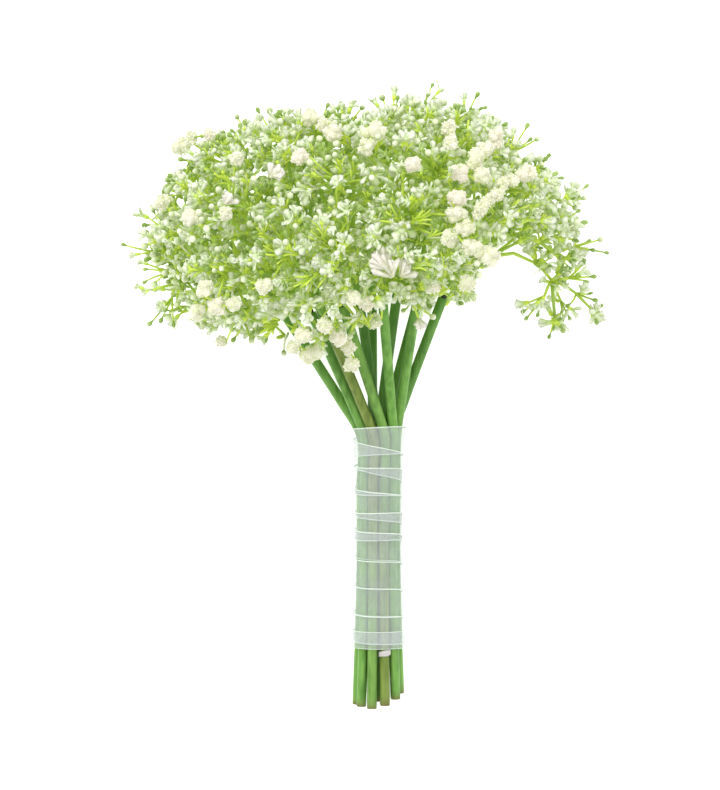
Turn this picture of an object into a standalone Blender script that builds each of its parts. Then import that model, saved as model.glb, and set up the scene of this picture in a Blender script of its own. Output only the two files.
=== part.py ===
"""A bunch of artificial gypsophila, held by a wound organza ribbon and lying on its side.

The bunch is modelled upright in a frame of its own: z runs up the stems from the lowest cut end, x to
the right and -y to the side that faces up when the bunch lies down. Every object is parented to one
empty, which lays the bunch on the surface. Lengths are in metres.
"""
import math

import bmesh
import bpy
import numpy as np
from mathutils import Matrix, Vector

# How the bunch lies: its axis rises this much towards the flower heads.
LIE_TILT = math.radians(10.0)
FLOOR_REACH = 0.01235
BOX_CENTRE = (0.0050, -0.1543)

# Stems: ten in a ring and two inside it.
STEM_RADIUS = 0.00245
RING_COUNT = 10
RING_TURN = math.radians(-18.0)
INNER_COUNT = 2
INNER_TURN = 0.0
INNER_SHARE = 0.390
RING_PROFILE = ((0.0, 0.0107), (0.030, 0.0096), (0.062, 0.0087), (0.110, 0.0086), (0.137, 0.0091))
FLARE_POWER = 1.06
FLARE_STEPS = 4

# Height of each cut end, and the joint where each stem meets its spray (ring first, then inside it).
CUTS = (0.0003, 0.0018, 0.0046, 0.0070, 0.0042, 0.0, 0.0061, 0.0030, 0.0015, 0.0010, 0.0035, 0.0026)
JOINTS = (
    (-0.0262, -0.0200, 0.194), (-0.0178, -0.0225, 0.200), (0.0020, -0.0260, 0.202),
    (0.0190, -0.0150, 0.203), (0.0323, 0.0020, 0.2047), (0.0200, 0.0240, 0.203),
    (-0.0030, 0.0300, 0.203), (-0.0300, 0.0240, 0.202), (-0.0480, 0.0080, 0.198),
    (-0.0335, -0.0080, 0.197), (0.0095, -0.0030, 0.208), (-0.0100, -0.0010, 0.206),
)

# The middle of the part of the flower dome that each spray fills, in the same order.
REACHES = (
    (-0.076, -0.044, 0.206), (-0.030, -0.066, 0.225), (0.024, -0.070, 0.232),
    (0.056, -0.046, 0.266), (0.090, -0.010, 0.218), (0.078, 0.026, 0.252),
    (0.016, 0.046, 0.262), (-0.050, 0.030, 0.278), (-0.104, 0.012, 0.226),
    (-0.088, -0.030, 0.262), (0.030, -0.014, 0.302), (-0.030, -0.050, 0.282),
)

# Joint: a hole in the stem's top, and the spray's peg, neck and flared cup.
HOLE_RADIUS = 0.0015
HOLE_DEPTH = 0.008
PEG_RADIUS = 0.00105
PEG_DEPTH = 0.007
SEAT_GAP = 0.0003
NECK_RADIUS = 0.0015
NECK_LENGTH = 0.0032
CUP_RADIUS = 0.0029
CUP_LENGTH = 0.0085
BRANCH_ROOT = 0.0060
BRANCH_SPREAD = 0.0017
BRANCH_SLOTS = 6

# The dome that the flowers fill: its outline seen from the front, as angle and radius round a centre.
DOME_CENTRE = (-0.006, 0.0, 0.240)
DOME_FRONT = 0.078
DOME_BACK = 0.075
OUTLINE = (
    (0, 0.119), (12, 0.113), (25, 0.099), (45, 0.090), (65, 0.078), (90, 0.062), (112, 0.064),
    (135, 0.084), (155, 0.106), (168, 0.111), (180, 0.122), (195, 0.120), (205, 0.114), (220, 0.090),
    (232, 0.084), (245, 0.080), (257, 0.070), (270, 0.053), (300, 0.050), (318, 0.060), (328, 0.096),
    (335, 0.115), (345, 0.123),
)
NOTCH_CENTRE = (0.055, 0.205)
NOTCH_SIZE = (0.011, 0.017)

# The underside round the stems is left open: directions this close to straight down, not at the front.
OPEN_DOWN = 0.80
OPEN_SIDE = 0.55
OPEN_FRONT = -0.5

# Flowers: spacing over the dome, how they are grouped on branches, and their sizes.
TIP_TRIALS = 9000
TIP_SPACING = 0.0133
TIP_SINK = 0.10
TIPS_PER_HUB = 4.6
HUB_BACK = 0.0125
ANCHOR_AHEAD = 0.022
BRANCH_RADII = (0.00110, 0.00095)
BRANCH_STEPS = 3
BRANCH_ARCH = 0.45
BRANCH_TRIES = 24
BRANCH_BEND = 0.0006
SPRAY_CHOICES = 4
GROUP_ROUNDS = 10
STALK_RADIUS = 0.00060
STALK_PITCH = 0.0026
BUD_RADIUS = 0.0029
FLOWER_RADIUS = 0.0054
FLOWER_LENGTH = 0.0042
PETAL_NOTCH = 0.45
FLOWER_DENT = 0.0022
NOTCH_DROP = 0.25
OPEN_SHARE = 0.45
CLEAR_GAP = 0.0005
FLOOR_SINK = 0.0006
SEED = 12
STEM_OWNER = 100

# Ribbon: a sleeve round the stems, wider at both ends.
RIBBON_BOTTOM = 0.0300
RIBBON_TOP = 0.1400
RIBBON_THICK = 0.00055
RIBBON_GAP = 0.0003
RIBBON_SIDES = 36
RIBBON_FLARE = 0.1335
RIBBON_SWELL = 0.0017
RIBBON_LEAN = -0.0005

# Small white band round one stem under the ribbon.
BAND_STEM = 1
BAND_CENTRE_Z = 0.0272
BAND_HEIGHT = 0.0030
BAND_GAP = 0.0003
BAND_THICK = 0.00045
BAND_SLANT = math.radians(9.0)
BAND_SIDES = 12

GREEN = (0.16, 0.36, 0.06)
OLIVE = (0.20, 0.22, 0.06)
LIME = (0.52, 0.66, 0.22)
WHITE = (0.86, 0.88, 0.84)
OLIVE_STEM = 0


def clear_scene():
    for thing in list(bpy.data.objects):
        bpy.data.objects.remove(thing)


def make_collection(name):
    collection = bpy.data.collections.new(name)
    bpy.context.scene.collection.children.link(collection)
    return collection


def make_material(name, colour, roughness):
    material = bpy.data.materials.new(name)
    material.use_nodes = True
    shader = material.node_tree.nodes["Principled BSDF"]
    shader.inputs["Base Color"].default_value = (*colour, 1.0)
    shader.inputs["Roughness"].default_value = roughness
    shader.inputs["Metallic"].default_value = 0.0
    return material


def evaluated_mesh(thing):
    graph = bpy.context.evaluated_depsgraph_get()
    return bpy.data.meshes.new_from_object(thing.evaluated_get(graph), depsgraph=graph)


def add_mesh(name, mesh, collection):
    thing = bpy.data.objects.new(name, mesh)
    collection.objects.link(thing)
    return thing


def tube_mesh(paths, resolution):
    """Mesh of closed tubes, one for each path of (point, radius) pairs."""
    curve = bpy.data.curves.new("tube", "CURVE")
    curve.dimensions = "3D"
    curve.bevel_depth = 1.0
    curve.bevel_resolution = resolution
    curve.use_fill_caps = True
    for path in paths:
        spline = curve.splines.new("POLY")
        spline.points.add(len(path) - 1)
        for point, (place, radius) in zip(spline.points, path):
            point.co = (*place, 1.0)
            point.radius = radius
    thing = add_mesh("tube", curve, bpy.context.scene.collection)
    mesh = evaluated_mesh(thing)
    bpy.data.objects.remove(thing)
    shell = bmesh.new()
    shell.from_mesh(mesh)
    bmesh.ops.remove_doubles(shell, verts=shell.verts, dist=1e-6)
    shell.to_mesh(mesh)
    shell.free()
    return mesh


def apply_boolean(thing, operation, operand, solver):
    """Cut or join with an object or a whole collection, applied to the mesh."""
    step = thing.modifiers.new(operation.lower(), "BOOLEAN")
    step.operation = operation
    step.solver = solver
    if isinstance(operand, bpy.types.Collection):
        step.operand_type = "COLLECTION"
        step.collection = operand
    else:
        step.object = operand
    mesh = evaluated_mesh(thing)
    thing.modifiers.clear()
    thing.data = mesh


def on_line(start, end, share):
    return start + (end - start) * share


def ring_radius(height):
    heights, radii = zip(*RING_PROFILE)
    return float(np.interp(height, heights, radii))


def stem_base(index, height):
    """Centre of a stem in the straight part of the bunch."""
    if index < RING_COUNT:
        turn = RING_TURN + index * math.tau / RING_COUNT
        radius = ring_radius(height)
    else:
        turn = INNER_TURN + (index - RING_COUNT) * math.tau / INNER_COUNT
        radius = ring_radius(height) * INNER_SHARE
    return np.array((radius * math.sin(turn), -radius * math.cos(turn), height))


def stem_path(index):
    """Points up one stem, from its cut end to its joint."""
    joint = np.array(JOINTS[index])
    heights = [CUTS[index]] + [height for height, _ in RING_PROFILE[1:]]
    points = [stem_base(index, height) for height in heights]
    foot = points[-1]
    for step in range(1, FLARE_STEPS + 1):
        share = step / FLARE_STEPS
        point = on_line(foot, joint, share)
        spread = share ** FLARE_POWER
        point[0] = foot[0] + (joint[0] - foot[0]) * spread
        point[1] = foot[1] + (joint[1] - foot[1]) * spread
        points.append(point)
    return points


def stem_heading(path):
    heading = path[-1] - path[-2]
    return heading / np.linalg.norm(heading)


def dome_radius(angle):
    angles, radii = zip(*OUTLINE)
    return np.interp(np.degrees(angle) % 360.0, angles, radii, period=360.0)


def floor_limit(height, standoff):
    """Furthest y towards the surface that the bunch lies on."""
    return height * math.tan(LIE_TILT) + FLOOR_REACH - standoff / math.cos(LIE_TILT)


def in_notch(point):
    across = (point[0] - NOTCH_CENTRE[0]) / NOTCH_SIZE[0]
    along = (point[2] - NOTCH_CENTRE[1]) / NOTCH_SIZE[1]
    return across * across + along * along < 1.0


def tip_targets(rng):
    """Places for the flowers, spread evenly over the dome."""
    accepted = []
    for _ in range(TIP_TRIALS):
        way = rng.normal(size=3)
        way /= np.linalg.norm(way)
        flat = math.hypot(way[0], way[2])
        radius = dome_radius(math.atan2(way[2], way[0]))
        depth = DOME_FRONT if way[1] < 0.0 else DOME_BACK
        size = 1.0 - TIP_SINK * rng.random()
        point = np.array(DOME_CENTRE) + size * np.array((way[0] * radius, way[1] * depth, way[2] * radius))
        point[1] = min(point[1], floor_limit(point[2], BUD_RADIUS - FLOOR_SINK))
        underside = flat > OPEN_SIDE and way[2] < -OPEN_DOWN * flat and way[1] > OPEN_FRONT
        if in_notch(point) or underside:
            continue
        if accepted and np.min(np.linalg.norm(np.array(accepted) - point, axis=1)) < TIP_SPACING:
            continue
        accepted.append(point)
    return np.array(accepted)


def group_points(points, count):
    """Split points into groups round centres that settle in their middles."""
    centres = [points[0]]
    while len(centres) < count:
        gaps = np.min([np.linalg.norm(points - centre, axis=1) for centre in centres], axis=0)
        centres.append(points[int(np.argmax(gaps))])
    centres = np.array(centres)
    for _ in range(GROUP_ROUNDS):
        owner = np.argmin(np.linalg.norm(points[:, None] - centres[None], axis=2), axis=1)
        for index in range(count):
            if np.any(owner == index):
                centres[index] = points[owner == index].mean(axis=0)
    return [points[owner == index] for index in range(count) if np.any(owner == index)]


def segment_gaps(start, end, starts, ends):
    """Distance from one segment to each of many."""
    first = end - start
    others = ends - starts
    offset = start - starts
    a = float(first @ first)
    e = np.einsum("ij,ij->i", others, others)
    f = np.einsum("ij,ij->i", others, offset)
    c = offset @ first
    b = others @ first
    spread = a * e - b * b
    s = np.where(spread > 1e-18, np.clip((b * f - c * e) / np.where(spread > 1e-18, spread, 1.0), 0, 1), 0.0)
    t = (b * s + f) / e
    t_in = np.clip(t, 0.0, 1.0)
    s = np.clip((b * t_in - c) / a, 0.0, 1.0)
    gaps = offset + s[:, None] * first - t_in[:, None] * others
    return np.linalg.norm(gaps, axis=1)


class Room:
    """Round-ended rods already placed, each with the piece that owns it."""

    def __init__(self):
        self.starts = np.zeros((0, 3))
        self.ends = np.zeros((0, 3))
        self.radii = np.zeros(0)
        self.owners = np.zeros(0, dtype=int)

    def add(self, owner, path):
        for (start, first), (end, second) in zip(path[:-1], path[1:]):
            self.starts = np.vstack((self.starts, start))
            self.ends = np.vstack((self.ends, end))
            self.radii = np.append(self.radii, max(first, second))
            self.owners = np.append(self.owners, owner)

    def is_clear(self, owner, path):
        others = self.owners != owner
        starts, ends, radii = self.starts[others], self.ends[others], self.radii[others]
        for (start, first), (end, second) in zip(path[:-1], path[1:]):
            gaps = segment_gaps(start, end, starts, ends) - radii - max(first, second)
            if np.min(gaps) < CLEAR_GAP:
                return False
        return True


class Spray:
    """One flower spray: the joint that it stands on, its branches and its tips."""

    def __init__(self, index, path):
        self.index = index
        self.joint = path[-1]
        self.heading = stem_heading(path)
        self.cup_top = self.joint + self.heading * CUP_LENGTH
        self.branches = []
        self.tips = []
        across = np.cross(self.heading, (0.0, 1.0, 0.0))
        across /= np.linalg.norm(across)
        beside = np.cross(self.heading, across)
        turns = [slot * math.tau / BRANCH_SLOTS for slot in range(BRANCH_SLOTS)]
        self.slots = [across * math.cos(turn) + beside * math.sin(turn) for turn in turns]

    def cup_path(self):
        marks = (
            (-PEG_DEPTH, PEG_RADIUS), (SEAT_GAP, PEG_RADIUS), (SEAT_GAP + 0.00005, NECK_RADIUS),
            (NECK_LENGTH, NECK_RADIUS), (CUP_LENGTH, CUP_RADIUS),
        )
        return [(self.joint + self.heading * mark, radius) for mark, radius in marks]

    def branch_path(self, hub, rng, bend):
        """A branch that leaves the cup along the stem and curves over to its hub."""
        axis_root = self.joint + self.heading * BRANCH_ROOT
        slot = max(self.slots, key=lambda side: float(side @ (hub - axis_root)))
        root = axis_root + slot * BRANCH_SPREAD
        reach = np.linalg.norm(hub - root)
        middle = root + self.heading * reach * BRANCH_ARCH + rng.normal(size=3) * bend
        path = []
        for step in range(BRANCH_STEPS + 1):
            share = step / BRANCH_STEPS
            point = root * (1 - share) ** 2 + middle * 2 * share * (1 - share) + hub * share ** 2
            path.append((point, on_line(BRANCH_RADII[0], BRANCH_RADII[1], share)))
        return path


    def take_slot(self, root):
        """Leave the place in the cup where a branch stands out of the later choices."""
        if len(self.slots) > 1:
            side = root - self.joint
            taken = int(np.argmax([float(slot @ side) for slot in self.slots]))
            self.slots.pop(taken)


def grow_branches(sprays, room, targets, rng):
    """Give each group of flowers a branch from the nearest spray that can reach it."""
    reaches = np.array(REACHES)
    owner = np.argmin(np.linalg.norm(targets[:, None] - reaches[None], axis=2), axis=1)
    groups = []
    for spray in sprays:
        mine = targets[owner == spray.index]
        groups += group_points(mine, max(1, round(len(mine) / TIPS_PER_HUB)))
    for group in groups:
        middle = group.mean(axis=0)
        order = np.argsort(np.linalg.norm(reaches - middle, axis=1))[:SPRAY_CHOICES]
        placed = False
        for index in order:
            spray = sprays[index]
            anchor = spray.joint + spray.heading * ANCHOR_AHEAD
            back = anchor - middle
            hub = middle + back / np.linalg.norm(back) * HUB_BACK
            for attempt in range(BRANCH_TRIES):
                path = spray.branch_path(hub, rng, BRANCH_BEND * attempt)
                if room.is_clear(spray.index, path[1:]):
                    room.add(spray.index, path)
                    spray.branches.append((path, group))
                    spray.take_slot(path[0][0])
                    placed = True
                    break
            if placed:
                break


def grow_tips(sprays, room, rng):
    """Put a stalk and a bud or flower at each place that its branch can reach."""
    for spray in sprays:
        for path, group in spray.branches:
            end, radius = path[-1]
            inward = path[-2][0] - end
            inward /= np.linalg.norm(inward)
            ahead = sorted(group, key=lambda target: float(inward @ (target - end)))
            for place, target in enumerate(ahead):
                root = end + inward * (radius + place * STALK_PITCH)
                opened = rng.random() < OPEN_SHARE
                way = (target - root) / np.linalg.norm(target - root)
                head = FLOWER_RADIUS if opened else BUD_RADIUS
                stalk = [(root, STALK_RADIUS), (target, STALK_RADIUS)]
                rise = FLOWER_LENGTH if opened else BUD_RADIUS
                crown = [(target + way * rise * 0.4, head * 0.5), (target + way * rise, head)]
                if room.is_clear(spray.index, stalk) and room.is_clear(spray.index, crown):
                    room.add(spray.index, stalk)
                    room.add(spray.index, crown)
                    spray.tips.append((root, target, opened))


def face_along(place, way):
    turn = Vector((0.0, 0.0, 1.0)).rotation_difference(Vector(way))
    return Matrix.Translation(Vector(place)) @ turn.to_matrix().to_4x4()


def primitive_mesh(name, build):
    shell = bmesh.new()
    build(shell)
    mesh = bpy.data.meshes.new(name)
    shell.to_mesh(mesh)
    shell.free()
    return mesh


def raise_face(shell, face, height, scale):
    """Extrude a face straight up, scaled about its middle, and return the new face."""
    made = bmesh.ops.extrude_discrete_faces(shell, faces=[face])["faces"][0]
    middle = made.calc_center_median()
    for vert in made.verts:
        vert.co = middle + (vert.co - middle) * scale + Vector((0.0, 0.0, height))
    return made


def tip_mesh(length, opened):
    """A four-sided stalk up z that ends in a closed bud or in a flower with four pointed petals."""
    def build(shell):
        bmesh.ops.create_cone(shell, cap_ends=True, segments=4, radius1=STALK_RADIUS,
                              radius2=STALK_RADIUS, depth=length,
                              matrix=Matrix.Translation((0.0, 0.0, length / 2)))
        top = max(shell.faces, key=lambda face: face.calc_center_median().z)
        if opened:
            rim = raise_face(shell, top, FLOWER_LENGTH, FLOWER_RADIUS / STALK_RADIUS)
            middle = rim.calc_center_median()
            split = bmesh.ops.subdivide_edges(shell, edges=list(rim.edges), cuts=1)["geom_inner"]
            rim = max(shell.faces, key=lambda face: face.calc_center_median().z)
            for vert in split:
                if isinstance(vert, bmesh.types.BMVert):
                    vert.co = middle + (vert.co - middle) * PETAL_NOTCH
                    vert.co.z -= FLOWER_LENGTH * NOTCH_DROP
            hollow = bmesh.ops.poke(shell, faces=[rim])["verts"][0]
            hollow.co = middle - Vector((0.0, 0.0, FLOWER_DENT))
        else:
            belly = raise_face(shell, top, BUD_RADIUS, BUD_RADIUS / STALK_RADIUS)
            point = bmesh.ops.poke(shell, faces=[belly])["verts"][0]
            point.co.z += BUD_RADIUS
    return primitive_mesh("tip", build)


def build_spray(spray, collection, floor):
    """Fuse one spray's cup, branches, stalks, buds and flowers into one solid."""
    name = f"spray_{spray.index + 1:02d}"
    pieces = make_collection(name + "_pieces")
    for path, _ in spray.branches:
        add_mesh("branch", tube_mesh([path], 0), pieces)
    for root, target, opened in spray.tips:
        way = target - root
        length = np.linalg.norm(way)
        tip = add_mesh("tip", tip_mesh(length, opened), pieces)
        tip.matrix_world = face_along(root, way / length)
    thing = add_mesh(name, tube_mesh([spray.cup_path()], 1), collection)
    apply_boolean(thing, "UNION", pieces, "MANIFOLD")
    for piece in list(pieces.objects):
        bpy.data.objects.remove(piece)
    bpy.data.collections.remove(pieces)
    apply_boolean(thing, "DIFFERENCE", floor, "MANIFOLD")
    return thing


def build_stem(index, path, collection, cutters, floor):
    name = f"stem_{index + 1:02d}"
    thing = add_mesh(name, tube_mesh([[(point, STEM_RADIUS) for point in path]], 2), collection)
    heading = stem_heading(path)

    def build(shell):
        bmesh.ops.create_cone(shell, cap_ends=True, segments=6, radius1=HOLE_RADIUS,
                              radius2=HOLE_RADIUS, depth=2 * HOLE_DEPTH)
    hole = add_mesh(name + "_hole", primitive_mesh("hole", build), cutters)
    hole.matrix_world = face_along(path[-1], heading)
    bpy.context.view_layer.update()
    apply_boolean(thing, "DIFFERENCE", hole, "EXACT")
    bpy.data.objects.remove(hole)
    apply_boolean(thing, "DIFFERENCE", floor, "MANIFOLD")
    return thing


def turn_outward(shell):
    """Faces of a closed shell turned to point out of its wall."""
    bmesh.ops.recalc_face_normals(shell, faces=shell.faces)
    if shell.calc_volume(signed=True) < 0.0:
        bmesh.ops.reverse_faces(shell, faces=shell.faces)


def build_ribbon(collection):
    """A sleeve: rings bridged into an open tube, which Solidify gives a wall of even thickness."""
    heights = [RIBBON_BOTTOM] + [height for height, _ in RING_PROFILE[2:-1]] + [RIBBON_FLARE, RIBBON_TOP]
    swell = (0.0, 0.0, 0.0, 0.0, RIBBON_SWELL)
    shell = bmesh.new()
    loops = []
    for height, extra in zip(heights, swell):
        radius = ring_radius(height) + STEM_RADIUS + RIBBON_GAP + RIBBON_THICK + extra
        lean = RIBBON_LEAN * extra / swell[-1]
        loop = bmesh.ops.create_circle(shell, cap_ends=False, segments=RIBBON_SIDES, radius=radius,
                                       matrix=Matrix.Translation((lean, 0.0, height)))["verts"]
        loops.append([edge for edge in shell.edges if all(vert in loop for vert in edge.verts)])
    for first, second in zip(loops[:-1], loops[1:]):
        bmesh.ops.bridge_loops(shell, edges=first + second)
    turn_outward(shell)
    mesh = bpy.data.meshes.new("ribbon")
    shell.to_mesh(mesh)
    shell.free()
    sleeve = add_mesh("ribbon", mesh, collection)
    wall = sleeve.modifiers.new("wall", "SOLIDIFY")
    wall.thickness = RIBBON_THICK
    wall.offset = -1.0
    wall.use_even_offset = True
    return sleeve


def build_band(collection):
    """A short slanted collar round one stem."""
    centre = stem_base(BAND_STEM, BAND_CENTRE_Z)
    inner = STEM_RADIUS + BAND_GAP
    outer = inner + BAND_THICK
    half = BAND_HEIGHT / 2
    shell = bmesh.new()
    loops = []
    for radius, height in ((outer, -half), (outer, half), (inner, half), (inner, -half)):
        loop = bmesh.ops.create_circle(shell, cap_ends=False, segments=BAND_SIDES, radius=radius,
                                       matrix=Matrix.Translation((0.0, 0.0, height)))["verts"]
        for vert in loop:
            vert.co.z += vert.co.x * math.tan(BAND_SLANT)
        loops.append([edge for edge in shell.edges if all(vert in loop for vert in edge.verts)])
    for first, second in zip(loops, loops[1:] + loops[:1]):
        bmesh.ops.bridge_loops(shell, edges=first + second)
    turn_outward(shell)
    mesh = bpy.data.meshes.new("stem_band")
    shell.to_mesh(mesh)
    shell.free()
    thing = add_mesh("stem_band", mesh, collection)
    thing.location = centre
    return thing


def lay_frame():
    """The empty that lays the bunch down, its box centred over the origin."""
    frame = bpy.data.objects.new("bunch_axis", None)
    bpy.context.scene.collection.objects.link(frame)
    frame.rotation_euler = (-(math.pi / 2 - LIE_TILT), 0.0, 0.0)
    frame.location = (BOX_CENTRE[0], BOX_CENTRE[1], FLOOR_REACH * math.cos(LIE_TILT))
    return frame


def floor_block(cutters):
    """A block whose top is the surface that the bunch lies on, in the bunch's own frame."""
    def build(shell):
        bmesh.ops.create_cube(shell, size=1.0, matrix=Matrix.Translation((0.0, 0.0, -0.5)))
    block = add_mesh("floor_cutter", primitive_mesh("floor_cutter", build), cutters)
    turn = Matrix.Rotation(math.pi / 2 - LIE_TILT, 4, "X")
    drop = Matrix.Translation((0.0, 0.0, -FLOOR_REACH * math.cos(LIE_TILT)))
    block.matrix_world = turn @ drop
    block.hide_render = True
    block.display_type = "WIRE"
    return block


def finish(thing, material, frame):
    thing.data.materials.clear()
    thing.data.materials.append(material)
    thing.data.shade_smooth()
    thing.data.set_sharp_from_angle(angle=math.radians(50.0))
    thing.parent = frame


def main():
    clear_scene()
    bunch = make_collection("gypsophila_bunch")
    cutters = make_collection("cutters")
    frame = lay_frame()
    floor = floor_block(cutters)
    rng = np.random.default_rng(SEED)

    paths = [stem_path(index) for index in range(RING_COUNT + INNER_COUNT)]
    sprays = [Spray(index, path) for index, path in enumerate(paths)]
    room = Room()
    for index, path in enumerate(paths):
        room.add(STEM_OWNER + index, [(point, STEM_RADIUS) for point in path])
        room.add(index, sprays[index].cup_path()[2:])
    grow_branches(sprays, room, tip_targets(rng), rng)
    grow_tips(sprays, room, rng)

    for index, path in enumerate(paths):
        stem = build_stem(index, path, bunch, cutters, floor)
        colour = OLIVE if index == OLIVE_STEM else GREEN
        finish(stem, make_material(f"stem_{index + 1:02d}_plastic", colour, 0.45), frame)
    for spray in sprays:
        thing = build_spray(spray, bunch, floor)
        finish(thing, make_material(f"spray_{spray.index + 1:02d}_plastic", LIME, 0.5), frame)
    finish(build_ribbon(bunch), make_material("ribbon_organza", WHITE, 0.4), frame)
    finish(build_band(bunch), make_material("band_tape", WHITE, 0.5), frame)


main()
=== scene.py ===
"""Looks of a bunch of artificial gypsophila, wound with sheer ribbon and lying on its side.

The bunch is worked out upright in a frame of its own: z runs up the stems from the lowest cut end, x to
the right and -y to the side that faces up when it lies down. laid() turns that into the place where the
solid parts lie. Lengths are in metres.
"""
import math

import bpy
import numpy as np
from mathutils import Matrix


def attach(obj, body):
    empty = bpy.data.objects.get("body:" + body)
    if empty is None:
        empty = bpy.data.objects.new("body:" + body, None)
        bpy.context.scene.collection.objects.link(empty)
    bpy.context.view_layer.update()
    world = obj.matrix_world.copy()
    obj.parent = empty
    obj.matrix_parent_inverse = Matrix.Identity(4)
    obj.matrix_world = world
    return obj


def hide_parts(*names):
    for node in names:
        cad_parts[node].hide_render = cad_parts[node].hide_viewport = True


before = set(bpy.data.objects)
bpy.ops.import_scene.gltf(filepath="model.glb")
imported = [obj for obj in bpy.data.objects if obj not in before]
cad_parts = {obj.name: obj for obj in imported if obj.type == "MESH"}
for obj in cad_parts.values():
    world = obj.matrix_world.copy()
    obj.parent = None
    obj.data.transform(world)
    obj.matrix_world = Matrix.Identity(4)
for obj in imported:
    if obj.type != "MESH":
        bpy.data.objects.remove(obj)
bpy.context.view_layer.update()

# How the bunch lies.
LIE_TILT = math.radians(10.0)
FLOOR_REACH = 0.01235
BOX_CENTRE = (0.0050, -0.1543)

# Stems: ten in a ring and two inside it.
STEM_RADIUS = 0.00245
RING_COUNT = 10
RING_TURN = math.radians(-18.0)
INNER_COUNT = 2
INNER_TURN = 0.0
INNER_SHARE = 0.390
RING_PROFILE = ((0.0, 0.0107), (0.030, 0.0096), (0.062, 0.0087), (0.110, 0.0086), (0.137, 0.0091))
FLARE_POWER = 1.06
FLARE_STEPS = 4
CUTS = (0.0003, 0.0018, 0.0046, 0.0070, 0.0042, 0.0, 0.0061, 0.0030, 0.0015, 0.0010, 0.0035, 0.0026)
JOINTS = (
    (-0.0262, -0.0200, 0.194), (-0.0178, -0.0225, 0.200), (0.0020, -0.0260, 0.202),
    (0.0190, -0.0150, 0.203), (0.0323, 0.0020, 0.2047), (0.0200, 0.0240, 0.203),
    (-0.0030, 0.0300, 0.203), (-0.0300, 0.0240, 0.202), (-0.0480, 0.0080, 0.198),
    (-0.0335, -0.0080, 0.197), (0.0095, -0.0030, 0.208), (-0.0100, -0.0010, 0.206),
)
# Olive cast of some stems, at the cut end and at the joint; below nought it is painted shade, a deeper green
# on the stems at the back and in the middle of the bunch.
OLIVE_AND_SHADED_STEMS = {0: (0.15, 0.60), 1: (0.55, 0.10), 4: (-0.20, -0.30), 5: (-0.25, -0.38), 6: (-0.25, -0.42),
               7: (-0.20, -0.30), 10: (-0.25, -0.38), 11: (-0.25, -0.45)}
OLIVE_AND_SHADE_CHANGE = (0.045, 0.120)
STEM_SIDES = 32
STEM_PITCH = 0.0025
WORN_LENGTH = 0.0042
RIDGE_DEPTH = 0.000035
HOLE_SHARE = 0.0017 / STEM_RADIUS
HOLE_DEPTH = 0.0030
# Rings at the cut end and at the top: distance along the stem and share of its radius.
CUT_RINGS = ((0.00035, 0.0), (0.0002, 0.55), (0.0, 0.80), (0.00012, 0.94), (0.0005, 0.995))
TOP_RINGS = ((-0.0004, 1.0), (-0.0001, 0.97), (0.0, 0.90), (-0.0001, 0.80), (-0.0004, HOLE_SHARE),
             (-HOLE_DEPTH, HOLE_SHARE), (-HOLE_DEPTH, 0.0))

# The middle of the part of the flower dome that each spray fills.
REACHES = (
    (-0.076, -0.044, 0.206), (-0.030, -0.066, 0.225), (0.024, -0.070, 0.232),
    (0.056, -0.046, 0.266), (0.090, -0.010, 0.218), (0.078, 0.026, 0.252),
    (0.016, 0.046, 0.262), (-0.050, 0.030, 0.278), (-0.104, 0.012, 0.226),
    (-0.088, -0.030, 0.262), (0.030, -0.014, 0.302), (-0.030, -0.050, 0.282),
)
SEAT_GAP = 0.0003
NECK_RADIUS = 0.0015
NECK_LENGTH = 0.0032
CUP_RADIUS = 0.0029
CUP_LENGTH = 0.0085
BRANCH_ROOT = 0.0060
BRANCH_SPREAD = 0.0017
BRANCH_SLOTS = 6

# The dome: its outline seen from the front, as angle and radius round a centre.
DOME_CENTRE = np.array((-0.006, 0.0, 0.240))
DOME_FRONT = 0.078
DOME_BACK = 0.075
OUTLINE = (
    (0, 0.119), (12, 0.113), (25, 0.099), (45, 0.090), (65, 0.078), (90, 0.062), (112, 0.064),
    (135, 0.084), (155, 0.106), (168, 0.111), (180, 0.122), (195, 0.120), (205, 0.114), (220, 0.090),
    (232, 0.084), (245, 0.080), (257, 0.070), (270, 0.053), (300, 0.050), (318, 0.060), (328, 0.096),
    (335, 0.115), (345, 0.123),
)
NOTCH_CENTRE = (0.055, 0.205)
NOTCH_SIZE = (0.011, 0.017)
OPEN_DOWN = 0.80
OPEN_SIDE = 0.55
OPEN_FRONT = -0.5

# How the solid sprays grow; the finer ones here follow the same branches.
TIP_TRIALS = 9000
TIP_SPACING = 0.0133
TIP_SINK = 0.10
TIPS_PER_HUB = 4.6
HUB_BACK = 0.0125
ANCHOR_AHEAD = 0.022
BRANCH_RADII = (0.00110, 0.00095)
BRANCH_STEPS = 3
BRANCH_ARCH = 0.45
BRANCH_TRIES = 24
BRANCH_BEND = 0.0006
SPRAY_CHOICES = 4
GROUP_ROUNDS = 10
STALK_RADIUS = 0.00060
STALK_PITCH = 0.0026
BUD_RADIUS = 0.0029
FLOWER_RADIUS = 0.0054
FLOWER_LENGTH = 0.0042
OPEN_SHARE = 0.45
CLEAR_GAP = 0.0005
FLOOR_SINK = 0.0006
SEED = 12
STEM_OWNER = 100

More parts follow.
